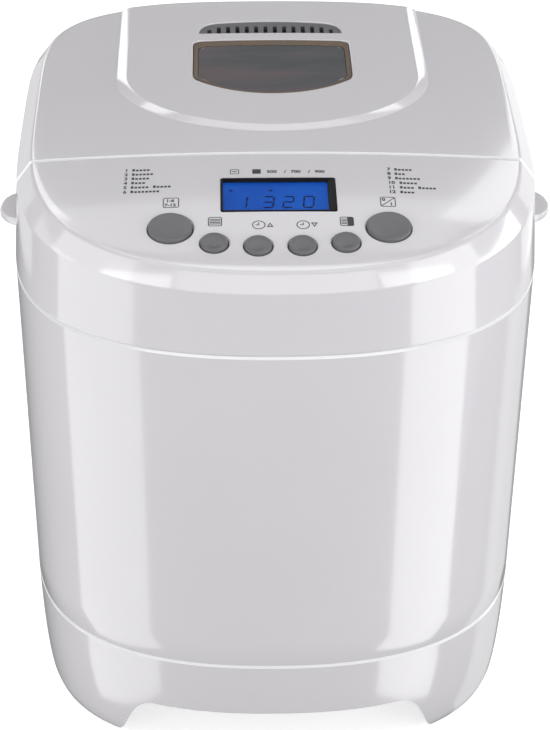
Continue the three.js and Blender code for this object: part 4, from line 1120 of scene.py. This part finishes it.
# name, place, target, size in metres and power of each light on the middle plane or on one side only
SINGLE_LIGHTS = (
    ("front", (0.0, -1.7, 0.62), MIDDLE, (1.5, 0.5), 3.6),
    ("overhead", (0.0, 0.05, 1.5), MIDDLE, (1.1, 0.5), 1.6),
    ("brow", (0.0, -0.75, 1.35), MIDDLE, (1.6, 0.22), 2.4),
    ("back_high", (-0.04, 0.88, 1.44), TOP, (0.76, 0.34), 0.7),
    ("arch_top", (0.0, 0.49, 1.62), TOP, (0.9, 0.16), 1.2),
    ("low_right", (0.95, 0.75, -0.85), FOOT, (0.9, 1.0), 1.3),
    ("side_left", (-1.15, -0.55, -0.35), (0, 0, -0.35), (1.15, 2.6), 13.0),
    ("side_right", (1.05, -0.78, -0.35), (0, 0, -0.35), (0.8, 2.6), 13.0),
    ("behind_left", (-0.85, 1.1, 0.05), (0, 0, 0.2), (1.0, 0.9), 1.6),
    ("behind_right", (0.85, 1.1, 0.05), (0, 0, 0.2), (1.0, 0.9), 2.4),
    ("beside_left", (-1.4, 0.0, 0.36), (0, 0, 0.36), (1.0, 0.5), 1.2),
    ("beside_right", (1.4, 0.0, 0.36), (0, 0, 0.36), (1.0, 0.5), 6.0),
)
# the same for a light that stands on both sides, placed on the right
PAIRED_LIGHTS = (
    ("arch_side", (0.47, 1.12, 0.98), TOP, (0.16, 0.95), 1.2),
    ("arch_corner", (0.56, 0.72, 1.4), TOP, (0.3, 0.3), 0.8),
    ("front_side", (1.0, -1.2, 0.55), MIDDLE, (0.8, 0.3), 2.4),
)


def make_camera():
    yaw, fall, roll = (math.radians(value) for value in (CAMERA_YAW, CAMERA_FALL, CAMERA_ROLL))
    forward = Vector((math.sin(yaw) * math.cos(fall), math.cos(yaw) * math.cos(fall), -math.sin(fall)))
    right = Vector((math.cos(yaw), -math.sin(yaw), 0))
    up = right.cross(forward)
    turned_right = right * math.cos(roll) + up * math.sin(roll)
    turned_up = up * math.cos(roll) - right * math.sin(roll)
    data = bpy.data.cameras.new("camera")
    data.sensor_width = SENSOR_WIDTH
    data.lens = CAMERA_FOCAL
    data.clip_start = 0.05
    camera = bpy.data.objects.new("camera", data)
    axes = Matrix((turned_right, turned_up, -forward)).transposed()
    camera.matrix_world = Matrix.Translation(CAMERA_PLACE) @ axes.to_4x4()
    scene.collection.objects.link(camera)
    scene.camera = camera


def panel_light(name, place, target, size, power):
    """A soft rectangular light that faces its target and can't be seen itself."""
    data = bpy.data.lights.new(name, "AREA")
    data.shape = "RECTANGLE"
    data.size, data.size_y = size
    data.energy = power
    light = bpy.data.objects.new(name, data)
    direction = Vector(target) - Vector(place)
    light.matrix_world = Matrix.Translation(place) @ direction.to_track_quat("-Z", "Y").to_matrix().to_4x4()
    light.visible_camera = False
    scene.collection.objects.link(light)


def make_floor():
    reach = 6000
    corners = [(-reach, -reach, 0), (reach, -reach, 0), (reach, reach, 0), (-reach, reach, 0)]
    floor = mesh_piece("floor", corners, [(0, 1, 2, 3)])
    material = new_material("floor")
    shader = shader_of(material)
    shader.inputs["Base Color"].default_value = (0.9, 0.9, 0.9, 1)
    shader.inputs["Roughness"].default_value = 0.9
    shader.inputs["Emission Color"].default_value = (1, 1, 1, 1)
    shader.inputs["Emission Strength"].default_value = 0.55
    floor.data.materials.append(material)
    floor.visible_glossy = False
    floor.visible_diffuse = False


def make_studio():
    """A pale world and panels of light whose reflections draw the bright edges of the glossy housing."""
    world = bpy.data.worlds.new("studio")
    world.use_nodes = True
    background = world.node_tree.nodes["Background"]
    background.inputs["Color"].default_value = (0.98, 0.97, 1.0, 1)
    background.inputs["Strength"].default_value = 0.25
    scene.world = world
    for light in SINGLE_LIGHTS:
        panel_light(*light)
    for name, (x, y, z), target, size, power in PAIRED_LIGHTS:
        panel_light(f"{name}_left", (-x, y, z), target, size, power)
        panel_light(f"{name}_right", (x, y, z), target, size, power)


dress_nodes()
make_mid_casing()
make_base()
make_top_casing()
make_lid()
make_window()
make_vent()
make_buttons()
make_print()
make_display()
make_camera()
make_floor()
make_studio()
